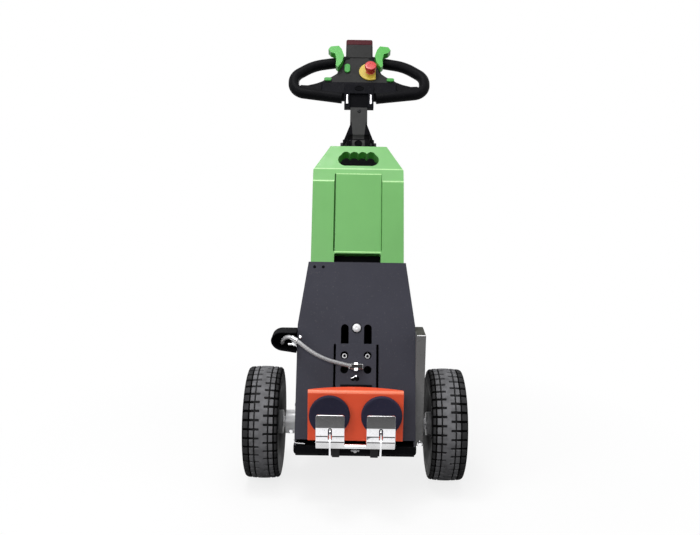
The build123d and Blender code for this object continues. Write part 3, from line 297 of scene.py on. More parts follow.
def turned(profile, steps=32):
    """Spins a profile of (radius, height) points, in millimetres, round the upright axis."""
    piece = pulled([(radius, 0, height) for radius, height in profile])
    bpy.ops.mesh.spin(steps=steps, angle=2 * pi, center=(0, 0, 0), axis=(0, 0, 1))
    bpy.ops.mesh.select_all(action="SELECT")
    bpy.ops.mesh.remove_doubles(threshold=0.00002)
    bpy.ops.mesh.normals_make_consistent(inside=False)
    return leave(piece)


def block(width, length, height, foot=0.0):
    """A box with its foot at a height, in millimetres."""
    bpy.ops.object.select_all(action="DESELECT")
    bpy.ops.mesh.primitive_cube_add(size=0.001, location=(0, 0, (foot + height / 2) / 1000))
    piece = bpy.context.object
    piece.scale = (width, length, height)
    bpy.ops.object.transform_apply(location=True, rotation=True, scale=True)
    return piece


def fitting(pattern, name, paint, places, body="chassis"):
    """Copies a small part to each place, every copy with its own mesh, and finishes them as one piece."""
    made = []
    for matrix in places:
        mesh = pattern.data.copy()
        mesh.transform(matrix)
        made.append(new_object(name + "_copy", mesh))
    bpy.data.objects.remove(pattern)
    return settle(joined(*made), name, body, paint)


def copied(node, width=0.0, rings=2):
    """A merged copy of a solid's mesh, with softened edges if a width is given."""
    copy = new_object(node + "_dressed", nodes[node].data.copy())
    rework(copy)
    bpy.ops.mesh.remove_doubles(threshold=0.00001)
    bpy.ops.mesh.dissolve_limited(angle_limit=radians(0.5))
    leave(copy)
    return soften(copy, width, rings) if width else copy


def dress(node, copy, paint, smooth=40):
    """Finishes a reworked copy of a solid, which stands for that solid."""
    return settle(copy, node + "_dressed", body_of[node], paint, smooth, [node])


print("tools ready")

# %% [markdown]
# ## Finishes
#
# Every surface here is painted, plated or moulded, and none of them is one flat colour. A coat of
# paint is a little cloudy, its gloss changes from place to place, and close up it has a fine grain.
# One function builds that from three noise patterns on object coordinates. Dust is a fourth: a
# sparse fleck of another colour. The small helpers before it each add one kind of shader node.

# %% Finishes
def add_node(tree, kind, inputs, **options):
    """Adds a shader node. Each input gets a value, or a link from another node's output."""
    node = tree.nodes.new("ShaderNode" + kind)
    for option, value in options.items():
        setattr(node, option, value)
    for socket, value in inputs.items():
        if isinstance(value, bpy.types.NodeSocket):
            tree.links.new(value, node.inputs[socket])
        else:
            node.inputs[socket].default_value = value
    return node.outputs


def reckon(tree, operation, *values):
    """A sum of one or two values."""
    return add_node(tree, "Math", dict(enumerate(values)), operation=operation)["Value"]


def ranged(tree, value, start, end, low=0, high=1):
    """Stretches a value between start and end to low and high."""
    limits = {"From Min": start, "From Max": end, "To Min": low, "To Max": high}
    return add_node(tree, "MapRange", {"Value": value, **limits})["Result"]


def mixed(tree, share, first, second):
    """A mix of two colours."""
    return add_node(tree, "Mix", {"Factor": share, "A": first, "B": second}, data_type="RGBA")["Result"]


def new_paint(name):
    """A new material, its node tree and its shader's inputs."""
    paint = bpy.data.materials.new(name)
    paint.use_nodes = True
    return paint, paint.node_tree, paint.node_tree.nodes["Principled BSDF"].inputs


FLECK_SCALE = 260.0
COAT_ROUGHNESS = 0.12


def finish(name, colour, rough, cloud=0.10, patch=8.0, uneven=0.07, grain=700.0, bump=0.04,
           fleck=0.0, fleck_colour=(0.30, 0.29, 0.27), metal=0.0, coat=0.0, shine=0.5):
    """A surface with cloudy colour, uneven gloss, fine grain and, if asked, dust flecks."""
    paint, tree, shader = new_paint(name)
    shader["Metallic"].default_value = metal
    shader["Coat Weight"].default_value = coat
    shader["Specular IOR Level"].default_value = shine
    shader["Coat Roughness"].default_value = COAT_ROUGHNESS
    place = tree.nodes.new("ShaderNodeTexCoord").outputs["Object"]

    def noise(scale, detail):
        return add_node(tree, "TexNoise", {"Vector": place, "Scale": scale, "Detail": detail})["Fac"]

    dark = [c * (1 - cloud) for c in colour]
    light = [min(1.0, c * (1 + cloud)) for c in colour]
    shown = mixed(tree, ranged(tree, noise(patch, 5), 0.3, 0.7), (*dark, 1), (*light, 1))
    if fleck:
        dust = ranged(tree, noise(FLECK_SCALE, 2), 0.62, 0.78, 0, fleck)
        shown = mixed(tree, dust, shown, (*fleck_colour, 1))
    tree.links.new(shown, shader["Base Color"])
    gloss = ranged(tree, noise(patch * 6, 4), 0.3, 0.7, rough - uneven, rough + uneven)
    tree.links.new(gloss, shader["Roughness"])
    raised = add_node(tree, "Bump", {"Height": noise(grain, 3), "Strength": bump, "Distance": 0.001})
    tree.links.new(raised["Normal"], shader["Normal"])
    return paint


slate = finish("slate_paint", (0.043, 0.043, 0.058), 0.48, fleck=0.10, bump=0.06, grain=420, shine=0.14)
black = finish("black_paint", (0.004, 0.004, 0.005), 0.60, fleck=0.05, bump=0.08, grain=420, shine=0.04)
hood_grey = finish("hood_paint", (0.055, 0.055, 0.070), 0.40, fleck=0.08, bump=0.06, grain=420, shine=0.35)
box_grey = finish("box_paint", (0.170, 0.170, 0.170), 0.30, fleck=0.55, fleck_colour=(0.02, 0.02, 0.02),
                  coat=0.2)
# a dark paint for the box's top, which stands in for a dark reflection
box_top_painted_reflection = finish("box_top_painted_reflection", (0.045, 0.046, 0.038), 0.70, fleck=0.25, shine=0.06)
orange = finish("orange_paint", (0.920, 0.106, 0.040), 0.40, cloud=0.06, bump=0.05, grain=420, shine=0.35)
# a lighter orange for the coupling's upper edge, painted on as a highlight
orange_painted_highlight = finish("orange_painted_highlight", (0.860, 0.180, 0.080), 0.30, cloud=0.08, patch=40, bump=0.05)
plated = finish("zinc_plate", (0.72, 0.72, 0.73), 0.24, cloud=0.12, patch=30, uneven=0.09, bump=0.03,
                fleck=0.35, fleck_colour=(0.30, 0.30, 0.31), metal=1.0)
bright_zinc = finish("bright_zinc", (0.93, 0.93, 0.95), 0.15, cloud=0.05, patch=30, uneven=0.05, bump=0.03,
                     fleck=0.45, fleck_colour=(0.40, 0.40, 0.42), metal=1.0)
dull_steel = finish("dull_steel", (0.42, 0.42, 0.43), 0.42, cloud=0.15, patch=40, uneven=0.10, metal=1.0)
alloy = finish("cast_alloy", (0.82, 0.82, 0.84), 0.38, cloud=0.12, bump=0.15, grain=300, metal=0.2)
rim_grey = finish("rim_paint", (0.300, 0.300, 0.310), 0.38, fleck=0.15, bump=0.05)
buffer_rubber = finish("buffer_rubber", (0.019, 0.018, 0.040), 0.70, cloud=0.2, bump=0.12, grain=500,
                       fleck=0.05, shine=0.2)
castor_rubber = finish("castor_rubber", (0.050, 0.050, 0.053), 0.62, cloud=0.15, bump=0.10, fleck=0.2)
iron = finish("cast_iron", (0.020, 0.020, 0.022), 0.55, cloud=0.2, bump=0.35, grain=260, shine=0.25)
green = finish("battery_green", (0.139, 0.408, 0.107), 0.36, cloud=0.05, bump=0.08, grain=900, fleck=0.05)
# a lighter, glossier green for the battery's edges, painted on as a highlight
green_painted_highlight = finish("battery_painted_highlight", (0.360, 0.660, 0.270), 0.28, cloud=0.08, patch=40, bump=0.05, grain=900)
contact = finish("contact_black", (0.004, 0.004, 0.005), 0.72, bump=0.08, shine=0.03)
moulded = finish("head_black", (0.017, 0.017, 0.017), 0.52, cloud=0.12, bump=0.14, grain=1100,
                 fleck=0.05, shine=0.12)
shaft_grey = finish("shaft_grey", (0.031, 0.031, 0.031), 0.48, cloud=0.15, bump=0.10, grain=700,
                    fleck=0.06, shine=0.14)
head_flank = finish("head_flank", (0.004, 0.004, 0.006), 0.46, cloud=0.12, bump=0.14, grain=1100,
                    fleck=0.04, shine=0.04)
grip_rubber = finish("grip_rubber", (0.004, 0.004, 0.005), 0.46, cloud=0.15, bump=0.22, grain=800,
                     fleck=0.04, shine=0.04)
lever_green = finish("lever_green", (0.052, 0.350, 0.042), 0.36, cloud=0.05, bump=0.04)
button_green = finish("button_green", (0.055, 0.300, 0.055), 0.40, cloud=0.05, bump=0.04, shine=0.2)
stop_red = finish("stop_red", (0.515, 0.030, 0.030), 0.34, cloud=0.05, bump=0.02, coat=0.1)
stop_yellow = finish("stop_yellow", (0.520, 0.390, 0.045), 0.40, cloud=0.05, bump=0.03)
belly_red = finish("belly_red", (0.055, 0.006, 0.010), 0.40, cloud=0.08, bump=0.03, shine=0.1)
print("finishes:", len(bpy.data.materials))

# %% [markdown]
# ## The braided cable
#
# The tube is the curve with a round section, turned into a mesh. Its braid follows the tube, so it
# is drawn on the tube's own UV map: two sets of slanting strands that cross each other, as bump and
# as a dark gap between strands. Towards the fitting the braid is painted darker, as painted shade. A
# crimped ferrule sits where the cable comes over the plate.

# %% Braided cable
STRANDS_ALONG, STRANDS_ROUND = 70.0, 6.0
FERRULE_X = -0.138
cable_curve.bevel_depth = CABLE_RADIUS
cable_curve.bevel_resolution = 5
cable_curve.use_fill_caps = True
bpy.context.view_layer.update()
cable = new_object("release_cable_braided", bpy.data.meshes.new_from_object(cable_line))
bpy.data.objects.remove(cable_line)
braid, tree, shader = new_paint("steel_braid")
shader["Metallic"].default_value = 0.25
shader["Roughness"].default_value = 0.32
on_tube = tree.nodes.new("ShaderNodeUVMap").outputs["UV"]
slants = []
for turn in (1, -1):
    across_strands = {0: on_tube, 1: (STRANDS_ALONG, STRANDS_ROUND * turn, 0)}
    strand = add_node(tree, "VectorMath", across_strands, operation="DOT_PRODUCT")["Value"]
    slants.append(reckon(tree, "PINGPONG", strand, 0.5))
woven = ranged(tree, reckon(tree, "MULTIPLY", *slants), 0, 0.08)
wire = mixed(tree, woven, (0.20, 0.20, 0.21, 1), (0.97, 0.97, 0.98, 1))
# the braid is painted darker towards the fitting, as painted shade
painted_shade_to_fitting = ranged(tree, add_node(tree, "SeparateXYZ", {"Vector": on_tube})["X"], 0.40, 0.80, 0, 0.72)
tree.links.new(mixed(tree, painted_shade_to_fitting, wire, (0.16, 0.16, 0.17, 1)), shader["Base Color"])
raised = add_node(tree, "Bump", {"Height": woven, "Strength": 0.5, "Distance": 0.0006})
tree.links.new(raised["Normal"], shader["Normal"])
settle(cable, "release_cable_braided", "chassis", braid, stands_for=["release_cable"])
print("cable UV maps:", [layer.name for layer in cable.data.uv_layers])

edge_spot = min(range(len(cable_points)), key=lambda i: abs(cable_points[i].x - FERRULE_X))
run = (cable_points[edge_spot + 1] - cable_points[edge_spot - 1]).normalized()
along_run = Matrix.Translation(cable_points[edge_spot]) @ run.to_track_quat("Z", "Y").to_matrix().to_4x4()
# radius and height of the ferrule's upper half, in millimetres
CRIMP = ((5.9, 2.4), (6.4, 3), (6.4, 7), (5.6, 8), (4.6, 8))
ferrule = turned([(r, -h) for r, h in reversed(CRIMP)] + list(CRIMP), 24)
ferrule = fitting(ferrule, "cable_ferrule", plated, [along_run])

# %% [markdown]
# ## Tyres
#
# The drive tyres have a block tread: a rib that runs round the middle, and on each half a row of
# blocks cut by cross grooves and by two thin grooves that run round. The two halves are half a
# pitch apart. One pitch is modelled flat, as a grid whose block faces are raised. An Array modifier
# repeats it 40 times and a Bend closes the strip to a ring, so all blocks are exactly alike.

# %% Tyres
PITCHES = 40
TYRE_RADIUS = 130.0
PITCH = 2 * pi * TYRE_RADIUS / PITCHES
GROOVE_DEPTH = 6.0
HALF_GROOVE = 2.7
# edges of the tread's columns across one half, in millimetres from the middle, and what they are
COLUMNS = ((0, 4.5, "rib"), (4.5, 13.8, "block"), (13.8, 17.0, "groove"), (17.0, 25.8, "block"),
           (25.8, 29.0, "groove"), (29.0, 35.0, "block"), (35.0, 38.6, "block"), (38.6, 40.0, "wall"))
HALF_TREAD = 40.0
CROWN_HALF, CROWN_DROP = 33.0, 2.0
SHOULDER_DROP, SHOULDER_WIDTH = 8.0, 10.0
TREAD_SHIFT = 3.0


def crown_drop(across):
    """How far the tyre's outside lies below the crown, at a distance from the middle."""
    if across <= CROWN_HALF:
        return CROWN_DROP * (across / CROWN_HALF) ** 2
    share = min((across - CROWN_HALF) / (HALF_TREAD - CROWN_HALF), 1.0)
    return CROWN_DROP + SHOULDER_DROP * (1 - (1 - share ** 2) ** 0.5)


def shifted(across):
    """The pattern sits a little towards the machine, while the shoulders stay in place."""
    return across + TREAD_SHIFT * min((HALF_TREAD - abs(across)) / SHOULDER_WIDTH, 1.0)


edges = {edge for start, end, kind in COLUMNS for edge in (start, end)}
across_lines = sorted(edges | {-edge for edge in edges})
along_lines = [0, HALF_GROOVE, PITCH / 2 - HALF_GROOVE, PITCH / 2 + HALF_GROOVE, PITCH - HALF_GROOVE, PITCH]
columns, rows = len(across_lines) - 1, len(along_lines) - 1
bpy.ops.object.select_all(action="DESELECT")
bpy.ops.mesh.primitive_grid_add(x_subdivisions=columns, y_subdivisions=rows, size=2, rotation=(pi / 2, 0, 0))
tread = bpy.context.object
bpy.ops.object.transform_apply(location=True, rotation=True, scale=True)
for point in tread.data.vertices:
    across = across_lines[round((point.co.x + 1) / 2 * columns)]
    along = along_lines[round((point.co.z + 1) / 2 * rows)]
    point.co = (across / 1000, GROOVE_DEPTH / 1000, along / 1000)


def is_block(face):
    """True where a face of the flat tile carries a block or the middle rib."""
    across, along = face.center.x * 1000, face.center.z * 1000
    kind = next(k for a, b, k in COLUMNS if a <= abs(across) <= b)
    if kind == "rib":
        return True
    gap = min(along, PITCH - along) if across < 0 else abs(along - PITCH / 2)
    return kind == "block" and gap > HALF_GROOVE


def is_end(face):
    """True on the walls at the tile's two ends, where the next tile follows."""
    return abs(face.normal.z) > 0.9 and min(face.center.z, PITCH / 1000 - face.center.z) < 0.00001


rework(tread)
choose(tread, is_block)
bpy.ops.mesh.extrude_region_move(TRANSFORM_OT_translate={"value": (0, -GROOVE_DEPTH / 1000, 0)})
choose(tread, is_end)
bpy.ops.mesh.delete(type="ONLY_FACE")
leave(tread)
for point in tread.data.vertices:
    point.co.x = shifted(point.co.x * 1000) / 1000
    point.co.y += crown_drop(abs(point.co.x) * 1000) / 1000
soften(tread, 0.7, 1, 50)
row = tread.modifiers.new("pitches", "ARRAY")
row.count = PITCHES
row.use_relative_offset = False
row.use_constant_offset = True
row.constant_offset_displace = (0, 0, PITCH / 1000)
row.use_merge_vertices = True
row.merge_threshold = 0.00005
pick(tread)
bpy.ops.object.modifier_apply(modifier=row.name)
for point in tread.data.vertices:
    point.co.z -= PITCHES * PITCH / 2000
ring = tread.modifiers.new("ring", "SIMPLE_DEFORM")
ring.deform_method = "BEND"
ring.deform_axis = "X"
ring.angle = 2 * pi
bpy.ops.object.modifier_apply(modifier=ring.name)
rework(tread)
bpy.ops.mesh.remove_doubles(threshold=0.00005)
leave(tread)
spans = [[v.co[i] for v in tread.data.vertices] for i in range(3)]
print("tread ring:", len(tread.data.polygons), "faces, size", [round(max(s) - min(s), 4) for s in spans])

# %% [markdown]
# The sidewalls are turned from a profile: a bulge down to the bead, with a few raised rings as every
# moulded tyre has. The rubber is dusty on top of the blocks, and painted shade makes it nearly black in
# the grooves and on the shoulders, so its colour follows the distance from the axle and from the
# tread's middle.

# %% Sidewalls and rubber
WALL = [(120.6, 39.5), (117.5, 40.2), (115.5, 40.2), (114.5, 39.7), (107, 39.7), (100, 39.2), (98.5, 39.7),
        (96, 39.4), (94.5, 38.7), (86, 37.4), (77, 35.3), (70.5, 33.0), (69, 33.3), (66.5, 32.0),
        (65, 30.9), (58, 28.2), (55.5, 27.3), (53.2, 26.4), (52.2, 25.0)]
WALL_TOP = 0.119


def tread_rubber(name, tops, grooves):
    """Rubber with dust on the block tops, pale far from the axle, and painted shade that makes it black in
    the grooves and on the shoulders.
    """
    paint = finish(name, tops, 0.78, cloud=0.25, patch=60, bump=0.25, grain=350, shine=0.02)
    tree = paint.node_tree
    colour = tree.nodes["Principled BSDF"].inputs["Base Color"]
    dusty = colour.links[0].from_socket
    place = tree.nodes.new("ShaderNodeTexCoord").outputs["Object"]
    split = add_node(tree, "SeparateXYZ", {"Vector": place})
    squares = []
    for way, axle in (("Y", AXLE_Y), ("Z", AXLE_Z)):
        off = reckon(tree, "SUBTRACT", split[way], axle)
        squares.append(reckon(tree, "MULTIPLY", off, off))
    reach = reckon(tree, "SQRT", reckon(tree, "ADD", *squares))
    off_middle = reckon(tree, "SUBTRACT", reckon(tree, "ABSOLUTE", split["X"]), WHEEL_X - TREAD_SHIFT / 1000)
    beside = reckon(tree, "ABSOLUTE", off_middle)
    # the grooves and the shoulders come out nearly black as painted shade; the pale block tops are dust
    crown = ranged(tree, beside, 0.0258, 0.0290, 1, 0.22)
    dust_and_painted_shade = reckon(tree, "MULTIPLY", ranged(tree, reach, 0.1230, 0.1268), crown)
    tree.links.new(mixed(tree, dust_and_painted_shade, (*grooves, 1), dusty), colour)
    return paint


rubber = tread_rubber("tyre_rubber", (0.165, 0.165, 0.173), (0.005, 0.005, 0.005))
wall_rubber = finish("wall_rubber", (0.010, 0.010, 0.011), 0.58, bump=0.12, fleck=0.06, shine=0.10)
walls = [turned([(radius, side * out) for radius, out in WALL], 96) for side in (1, -1)]
lay(tread, Matrix.Translation((0, -TYRE_RADIUS / 1000, 0)))
for wall in walls:
    lay(wall, Matrix.Rotation(pi / 2, 4, "Y"))
joined(tread, *walls)
axle = Vector((0, AXLE_Y, AXLE_Z))
# side, sign, how far the wheel has rolled in pitches; the right tyre is the left one turned about
ROLLED = (("left", -1, -0.35), ("right", 1, 0.5))
for side, sign, pitches in ROLLED:
    tyre = new_object("tyre_copy", tread.data.copy())
    turned_about = spot((sign * WHEEL_X, AXLE_Y, AXLE_Z), pi if sign > 0 else 0, "Z")
    lay(tyre, turned_about @ Matrix.Rotation(2 * pi * pitches / PITCHES, 4, "X"))
    settle(tyre, f"block_tyre_{side}", f"wheel_{side}", rubber, 30, [f"tyre_{side}"])
    second_paint(tyre, wall_rubber, lambda face: (face.center * Vector((0, 1, 1)) - axle).length < WALL_TOP)
bpy.data.objects.remove(tread)
print("tyre triangles:", sum(len(p.vertices) - 2 for p in tyre.data.polygons))

# %% [markdown]
# ## Sheet metal and castings
#
# No real edge is knife-sharp: it is broken by the press or the file, and it is this thin rounding
# that catches the light. The main solids get a copy with softened edges, from a table of how wide
# each rounding is. The copy keeps the solid's form and stands for it. The tray's rounding is very
# thin, because a rounding also fills inner corners and the battery runs close to the tray's.

# %% Softened solids
# solid, rounding in millimetres, rings, paint, slot
SOFT_EDGES = (
    ("front_plate", 1.2, 2, slate, "plate_grey"),
    ("side_panels", 1.0, 2, hood_grey, "hood_grey"),
    ("rear_hood", 1.2, 2, hood_grey, "hood_grey"),
    ("rear_base", 1.0, 2, black, "frame_black"),
    ("battery_tray", 0.2, 1, black, "frame_black"),
    ("carriage", 1.0, 2, slate, "plate_grey"),
    ("coupling_gussets", 0.8, 2, orange, "coupling_orange"),
    ("buffers", 3.5, 4, buffer_rubber, "buffer_rubber"),
    ("hook_ribs", 0.8, 2, bright_zinc, "plated_steel"),
    ("hook_bar", 1.0, 2, bright_zinc, "plated_steel"),
    ("drive_unit", 4.0, 3, iron, "drive_iron"),
    ("axle_housings", 1.5, 2, alloy, "rim_grey"),
    ("rim_left", 1.2, 2, rim_grey, "rim_grey"),
    ("rim_right", 1.2, 2, rim_grey, "rim_grey"),
    ("castor_plate", 1.0, 2, plated, "plated_steel"),
    ("castor_fork", 1.2, 2, plated, "plated_steel"),
    ("castor_hub", 1.5, 2, rim_grey, "rim_grey"),
    # the black contact block fills the battery's pocket and stands in for the shade there: painted shade
    ("battery_contact", 0.8, 1, contact, "contact_black"),
    ("tiller_pin", 1.2, 2, iron, "plated_steel"),
    ("head_clamp", 1.6, 3, head_flank, "head_black"),
    ("belly_switch", 5.0, 4, belly_red, "belly_red"),
    ("stop_plate", 1.2, 2, stop_yellow, "stop_yellow"),
    ("oval_button", 1.6, 3, button_green, "lever_green"),
    ("wing_buttons", 1.6, 3, button_green, "lever_green"),
    ("throttle_levers", 4.0, 4, lever_green, "lever_green"),
    ("grips", 2.0, 3, grip_rubber, "grip_rubber"),
)
for node, width, rings, paint, slot in SOFT_EDGES:
    dress(node, copied(node, width, rings), paint)
print("softened solids:", len(SOFT_EDGES))

# %% [markdown]
# Some solids need more than one width of rounding, or more than one paint. The beam under the plate
# has its lower ends cut back. The equipment box's top is painted dark as a painted reflection, and its
# outer side black as painted shade. The cup's floor rises to its outer end. The head is one moulding:
# the faces that face up its panel take a lighter grey than its black flanks, as painted light from above.
# The coupling's upper front edge takes a lighter orange, as a painted highlight.

# %% Beam, box, cup and head
BEAM_END, BEAM_FOOT, BEAM_ROUND = 0.1345, 0.1041, 0.012
DARK_TOP_HEIGHT = 0.3
CUP_FLOOR_RISE = 0.008
PANEL_FOOT = 0.040
beam = copied("front_beam")
rework(beam)
choose_edges(beam, lambda place: abs(place.x) > BEAM_END and place.z < BEAM_FOOT)
bpy.ops.mesh.bevel(offset=BEAM_ROUND, segments=4, affect="EDGES")
leave(beam)
dress("front_beam", soften(beam, 1.2, 2, 40), black)

box = dress("side_box", copied("side_box", 2.0, 3), box_grey)
# the box's upward faces are painted dark as a painted reflection
second_paint(box, box_top_painted_reflection, lambda face: face.normal.z > 0.8 and face.center.z > DARK_TOP_HEIGHT)
# the box's faces that face out to the right are painted black as painted shade
second_paint(box, contact, lambda face: face.normal.x > 0.5)

cup = copied("release_cup", 1.2, 3)
cup_low, cup_high = corners("release_cup")
for point in cup.data.vertices:
    outward = (cup_high.x - point.co.x) / (cup_high.x - cup_low.x)
    downward = (cup_high.z - point.co.z) / (cup_high.z - cup_low.z)
    point.co.z += CUP_FLOOR_RISE * outward * downward
dress("release_cup", cup, contact)

head_up, panel_up = (HEAD.to_3x3() @ Vector(way) for way in ((0, 1, 0), (0, 0, 1)))
head = copied("head_housing")
rework(head)
bpy.ops.mesh.bisect(plane_co=HEAD @ Vector((0, PANEL_FOOT, 0)), plane_no=head_up)
leave(head)
dress("head_housing", head, head_flank)
# the faces that face up the panel take a lighter grey than the flanks: painted light from above
second_paint(head, moulded, lambda face: face.normal.dot(panel_up) > 0.75
             and (to_head @ face.center).y > PANEL_FOOT)

coupling = dress("coupling_plate", copied("coupling_plate", 1.2), orange)
# the coupling plate's faces that face up and forward get the lighter orange as a painted highlight
second_paint(coupling, orange_painted_highlight, lambda face: face.normal.z > 0.3 and face.normal.y < -0.2)
print("beam, box, cup, head:", [len(piece.data.polygons) for piece in (beam, box, cup, head)], "faces")

# %% [markdown]
# The tiller's foot is a welded fork: a grey web between two cheeks, with the mouth of the clamp above
# it. The cheeks and the mouth are painted black as painted shade. They are cut out of the softened copy
# with the bisect tool, and the faces on each side of a cut take their own paint. The mast is painted
# black as painted shade, apart from the middle of its front, which is grey up to its cable hole.

# %% Tiller shaft and mast
MOUTH = 0.101
NECK = 0.060
CHEEK_HALF, CHEEK_FLARE = 0.0185, 0.10
WEB_HALF, WEB_FOOT, WEB_DEPTH = 0.016, 0.74, 0.004
shaft = copied("tiller_shaft", 2.0, 3)
shaft_across, shaft_up = (SHAFT.to_3x3() @ Vector(way) for way in ((1, 0, 0), (0, 1, 0)))
rework(shaft)
for height in (MOUTH, NECK):
    bpy.ops.mesh.select_all(action="SELECT")
    bpy.ops.mesh.bisect(plane_co=SHAFT @ Vector((0, height, 0)), plane_no=shaft_up)
for side in (-1, 1):
    choose(shaft, lambda face: (to_shaft @ face.center).y < NECK)
    cheek = SHAFT @ Vector((side * CHEEK_HALF, NECK, 0))
    bpy.ops.mesh.bisect(plane_co=cheek, plane_no=shaft_across - side * CHEEK_FLARE * shaft_up)
leave(shaft)


def in_shadow(face):
    """True on the clamp's mouth and on the fork's cheeks, which are painted black as painted shade."""
    place = to_shaft @ face.center
    return place.y > MOUTH or (place.y < NECK and abs(place.x) > CHEEK_HALF - CHEEK_FLARE * (NECK - place.y))


dress("tiller_shaft", shaft, shaft_grey)
# the clamp's mouth and the fork's cheeks are painted black as painted shade
second_paint(shaft, contact, in_shadow)

mast = copied("mast", 2.5, 3)
rework(mast)
for side in (-1, 1):
    bpy.ops.mesh.select_all(action="SELECT")
    bpy.ops.mesh.bisect(plane_co=(side * WEB_HALF, 0, 0), plane_no=(1, 0, 0))
leave(mast)
# the mast is painted black as painted shade, apart from its grey web
dress("mast", mast, contact)
mast_front = max((to_plate @ point.co).z for point in mast.data.vertices)


def on_web(face):
    """True on the upper middle of the mast's front, and not on the wall behind its cable hole."""
    ahead = face.normal.dot(plate_out) > 0.8 and (to_plate @ face.center).z > mast_front - WEB_DEPTH
    return ahead and abs(face.center.x) < WEB_HALF and face.center.z > WEB_FOOT


second_paint(mast, shaft_grey, on_web)
print("tiller foot done")

# %% [markdown]
# ## The battery
#
# The battery is a moulded case with two raised columns and a flat panel between them. What shows from
# afar are its edges: they are glossy, and the faces along them that tip up take a lighter green as a
# painted highlight. The ledges above the columns are drawn down to slopes, the break under the top and
# the sill are bevelled, and all of them take the painted highlight. The panel is a block with a
# bevelled upper edge, which takes it too, set in the recess with a thin groove on each side.

# %% Battery
# places up the plate's plane, in metres
LEDGE_ALONG, LEDGE_SLOPE, BREAK_ALONG = 0.601, 0.0048, 0.631
SILL_ALONG, SILL_HALF = 0.427, 0.058
COLUMN_DEEP = -0.0043
CLOSE = 0.0006
PANEL_WIDTH, PANEL_LENGTH, PANEL_THICK = 108, 194, 9
PANEL_TOP = 0.614
case = copied("battery_case")
for point in case.data.vertices:
    place = to_plate @ point.co
    if abs(place.y - LEDGE_ALONG) < CLOSE and abs(place.z - COLUMN_DEEP) < CLOSE:
        place.y -= LEDGE_SLOPE
        point.co = PLATE @ place


def on_break(edge):
    """True on the edge that runs across the case under its top."""
    ends = [to_plate @ case.data.vertices[v].co for v in edge.vertices]
    return all(abs(end.y - BREAK_ALONG) < 0.001 for end in ends) and abs(ends[0].x - ends[1].x) > 0.05


def on_sill(place):
    """True on the upper front edge of the bar under the panel."""
    end = to_plate @ place
    return abs(end.y - SILL_ALONG) < CLOSE and abs(end.x) < SILL_HALF and end.z > COLUMN_DEEP - 0.001


def takes_painted_highlight(face):
    """True on the sloping ledges, the break and the sill, whose faces take the painted highlight."""
    place = to_plate @ face.center
    tip = face.normal.dot(plate_up)
    ledge = LEDGE_ALONG - 0.006 < place.y < LEDGE_ALONG + 0.001 and 0.2 < tip < 0.95 and abs(place.x) > 0.055
    crease = abs(place.y - BREAK_ALONG) < 0.0022 and 0.18 < tip < 0.32
    sill = abs(place.x) < 0.057 and abs(place.y - SILL_ALONG) < 0.0035 and 0.25 < tip < 0.95
    return ledge or crease or sill


rework(case)
choose(case, on_break, "EDGE")
bpy.ops.mesh.bevel(offset=0.0016, segments=1, affect="EDGES")
choose_edges(case, on_sill)
bpy.ops.mesh.bevel(offset=0.0028, segments=1, affect="EDGES")
leave(case)
dress("battery_case", soften(case, 1.4), green, 30)
# faces that tip up on the ledges, the break and the sill get the lighter green as a painted highlight
second_paint(case, green_painted_highlight, takes_painted_highlight)

panel = block(PANEL_WIDTH, PANEL_LENGTH, PANEL_THICK)
rework(panel)
choose_edges(panel, lambda place: place.y > 0.05 and place.z > 0.005)
bpy.ops.mesh.bevel(offset=0.0034, segments=1, affect="EDGES")
soften(leave(panel), 0.9)
panel = fitting(panel, "battery_panel", green, [at(PLATE, 1.2, 522.8, -17)], "battery")
# the panel's bevelled upper edge gets the lighter green as a painted highlight
second_paint(panel, green_painted_highlight, lambda face: (to_plate @ face.center).y > PANEL_TOP
             and 0.3 < face.normal.z < 0.98)
print("battery:", sum(face.material_index for face in case.data.polygons), "worn faces")

# %% [markdown]
# ## The hooks
#
# Each hook is one bent plate. Bright metal shows what is in front of it, so its shape matters more than
# its colour: the lip is bent back a little along its upper third and turns dark there, and the bending
# tool has left two shallow dents. A bisect gives the points for both, and the points are then moved.
# Below the lip, the faces that face down take a duller zinc as painted shade, and the front faces of
# the dents are painted dark as a painted reflection.

# %% Hooks
hook_low, hook_high = corners("hooks")
LIP_BREAK = hook_high.z - 0.0265
LIP_LEAN = 0.13
DENTS = (hook_high.z - 0.0447, hook_high.z - 0.0571)
DENT_HALF, DENT_DEEP = 0.0011, 0.0008
LIP_THICK = 0.003
cuts = [dent + shift for dent in DENTS for shift in (-DENT_HALF, 0, DENT_HALF)]


def from_dent(height):
    """How far a height is from the nearer dent."""
    return min(abs(height - dent) for dent in DENTS)


hooks = copied("hooks", 1.0)
rework(hooks)
for height in (LIP_BREAK, *cuts):
    bpy.ops.mesh.select_all(action="SELECT")
    bpy.ops.mesh.bisect(plane_co=(0, 0, height), plane_no=(0, 0, 1))
choose_edges(hooks, lambda place: abs(place.z - LIP_BREAK) < 0.0001)
bpy.ops.mesh.mark_sharp()
leave(hooks)
for point in hooks.data.vertices:
    point.co.y += max(point.co.z - LIP_BREAK, 0) * LIP_LEAN
    if from_dent(point.co.z) < 0.0001 and point.co.y < hook_low.y + LIP_THICK + 0.0002:
        point.co.y += DENT_DEEP
dress("hooks", hooks, bright_zinc, 20)
# faces below the lip that face down take a duller zinc as painted shade
second_paint(hooks, plated, lambda face: face.normal.z < -0.15 and face.center.z < LIP_BREAK)
# the front faces of the dents are painted dark as a painted reflection
second_paint(hooks, iron, lambda face: from_dent(face.center.z) < DENT_HALF
             and face.center.y < hook_low.y + LIP_THICK and abs(face.normal.x) < 0.3)

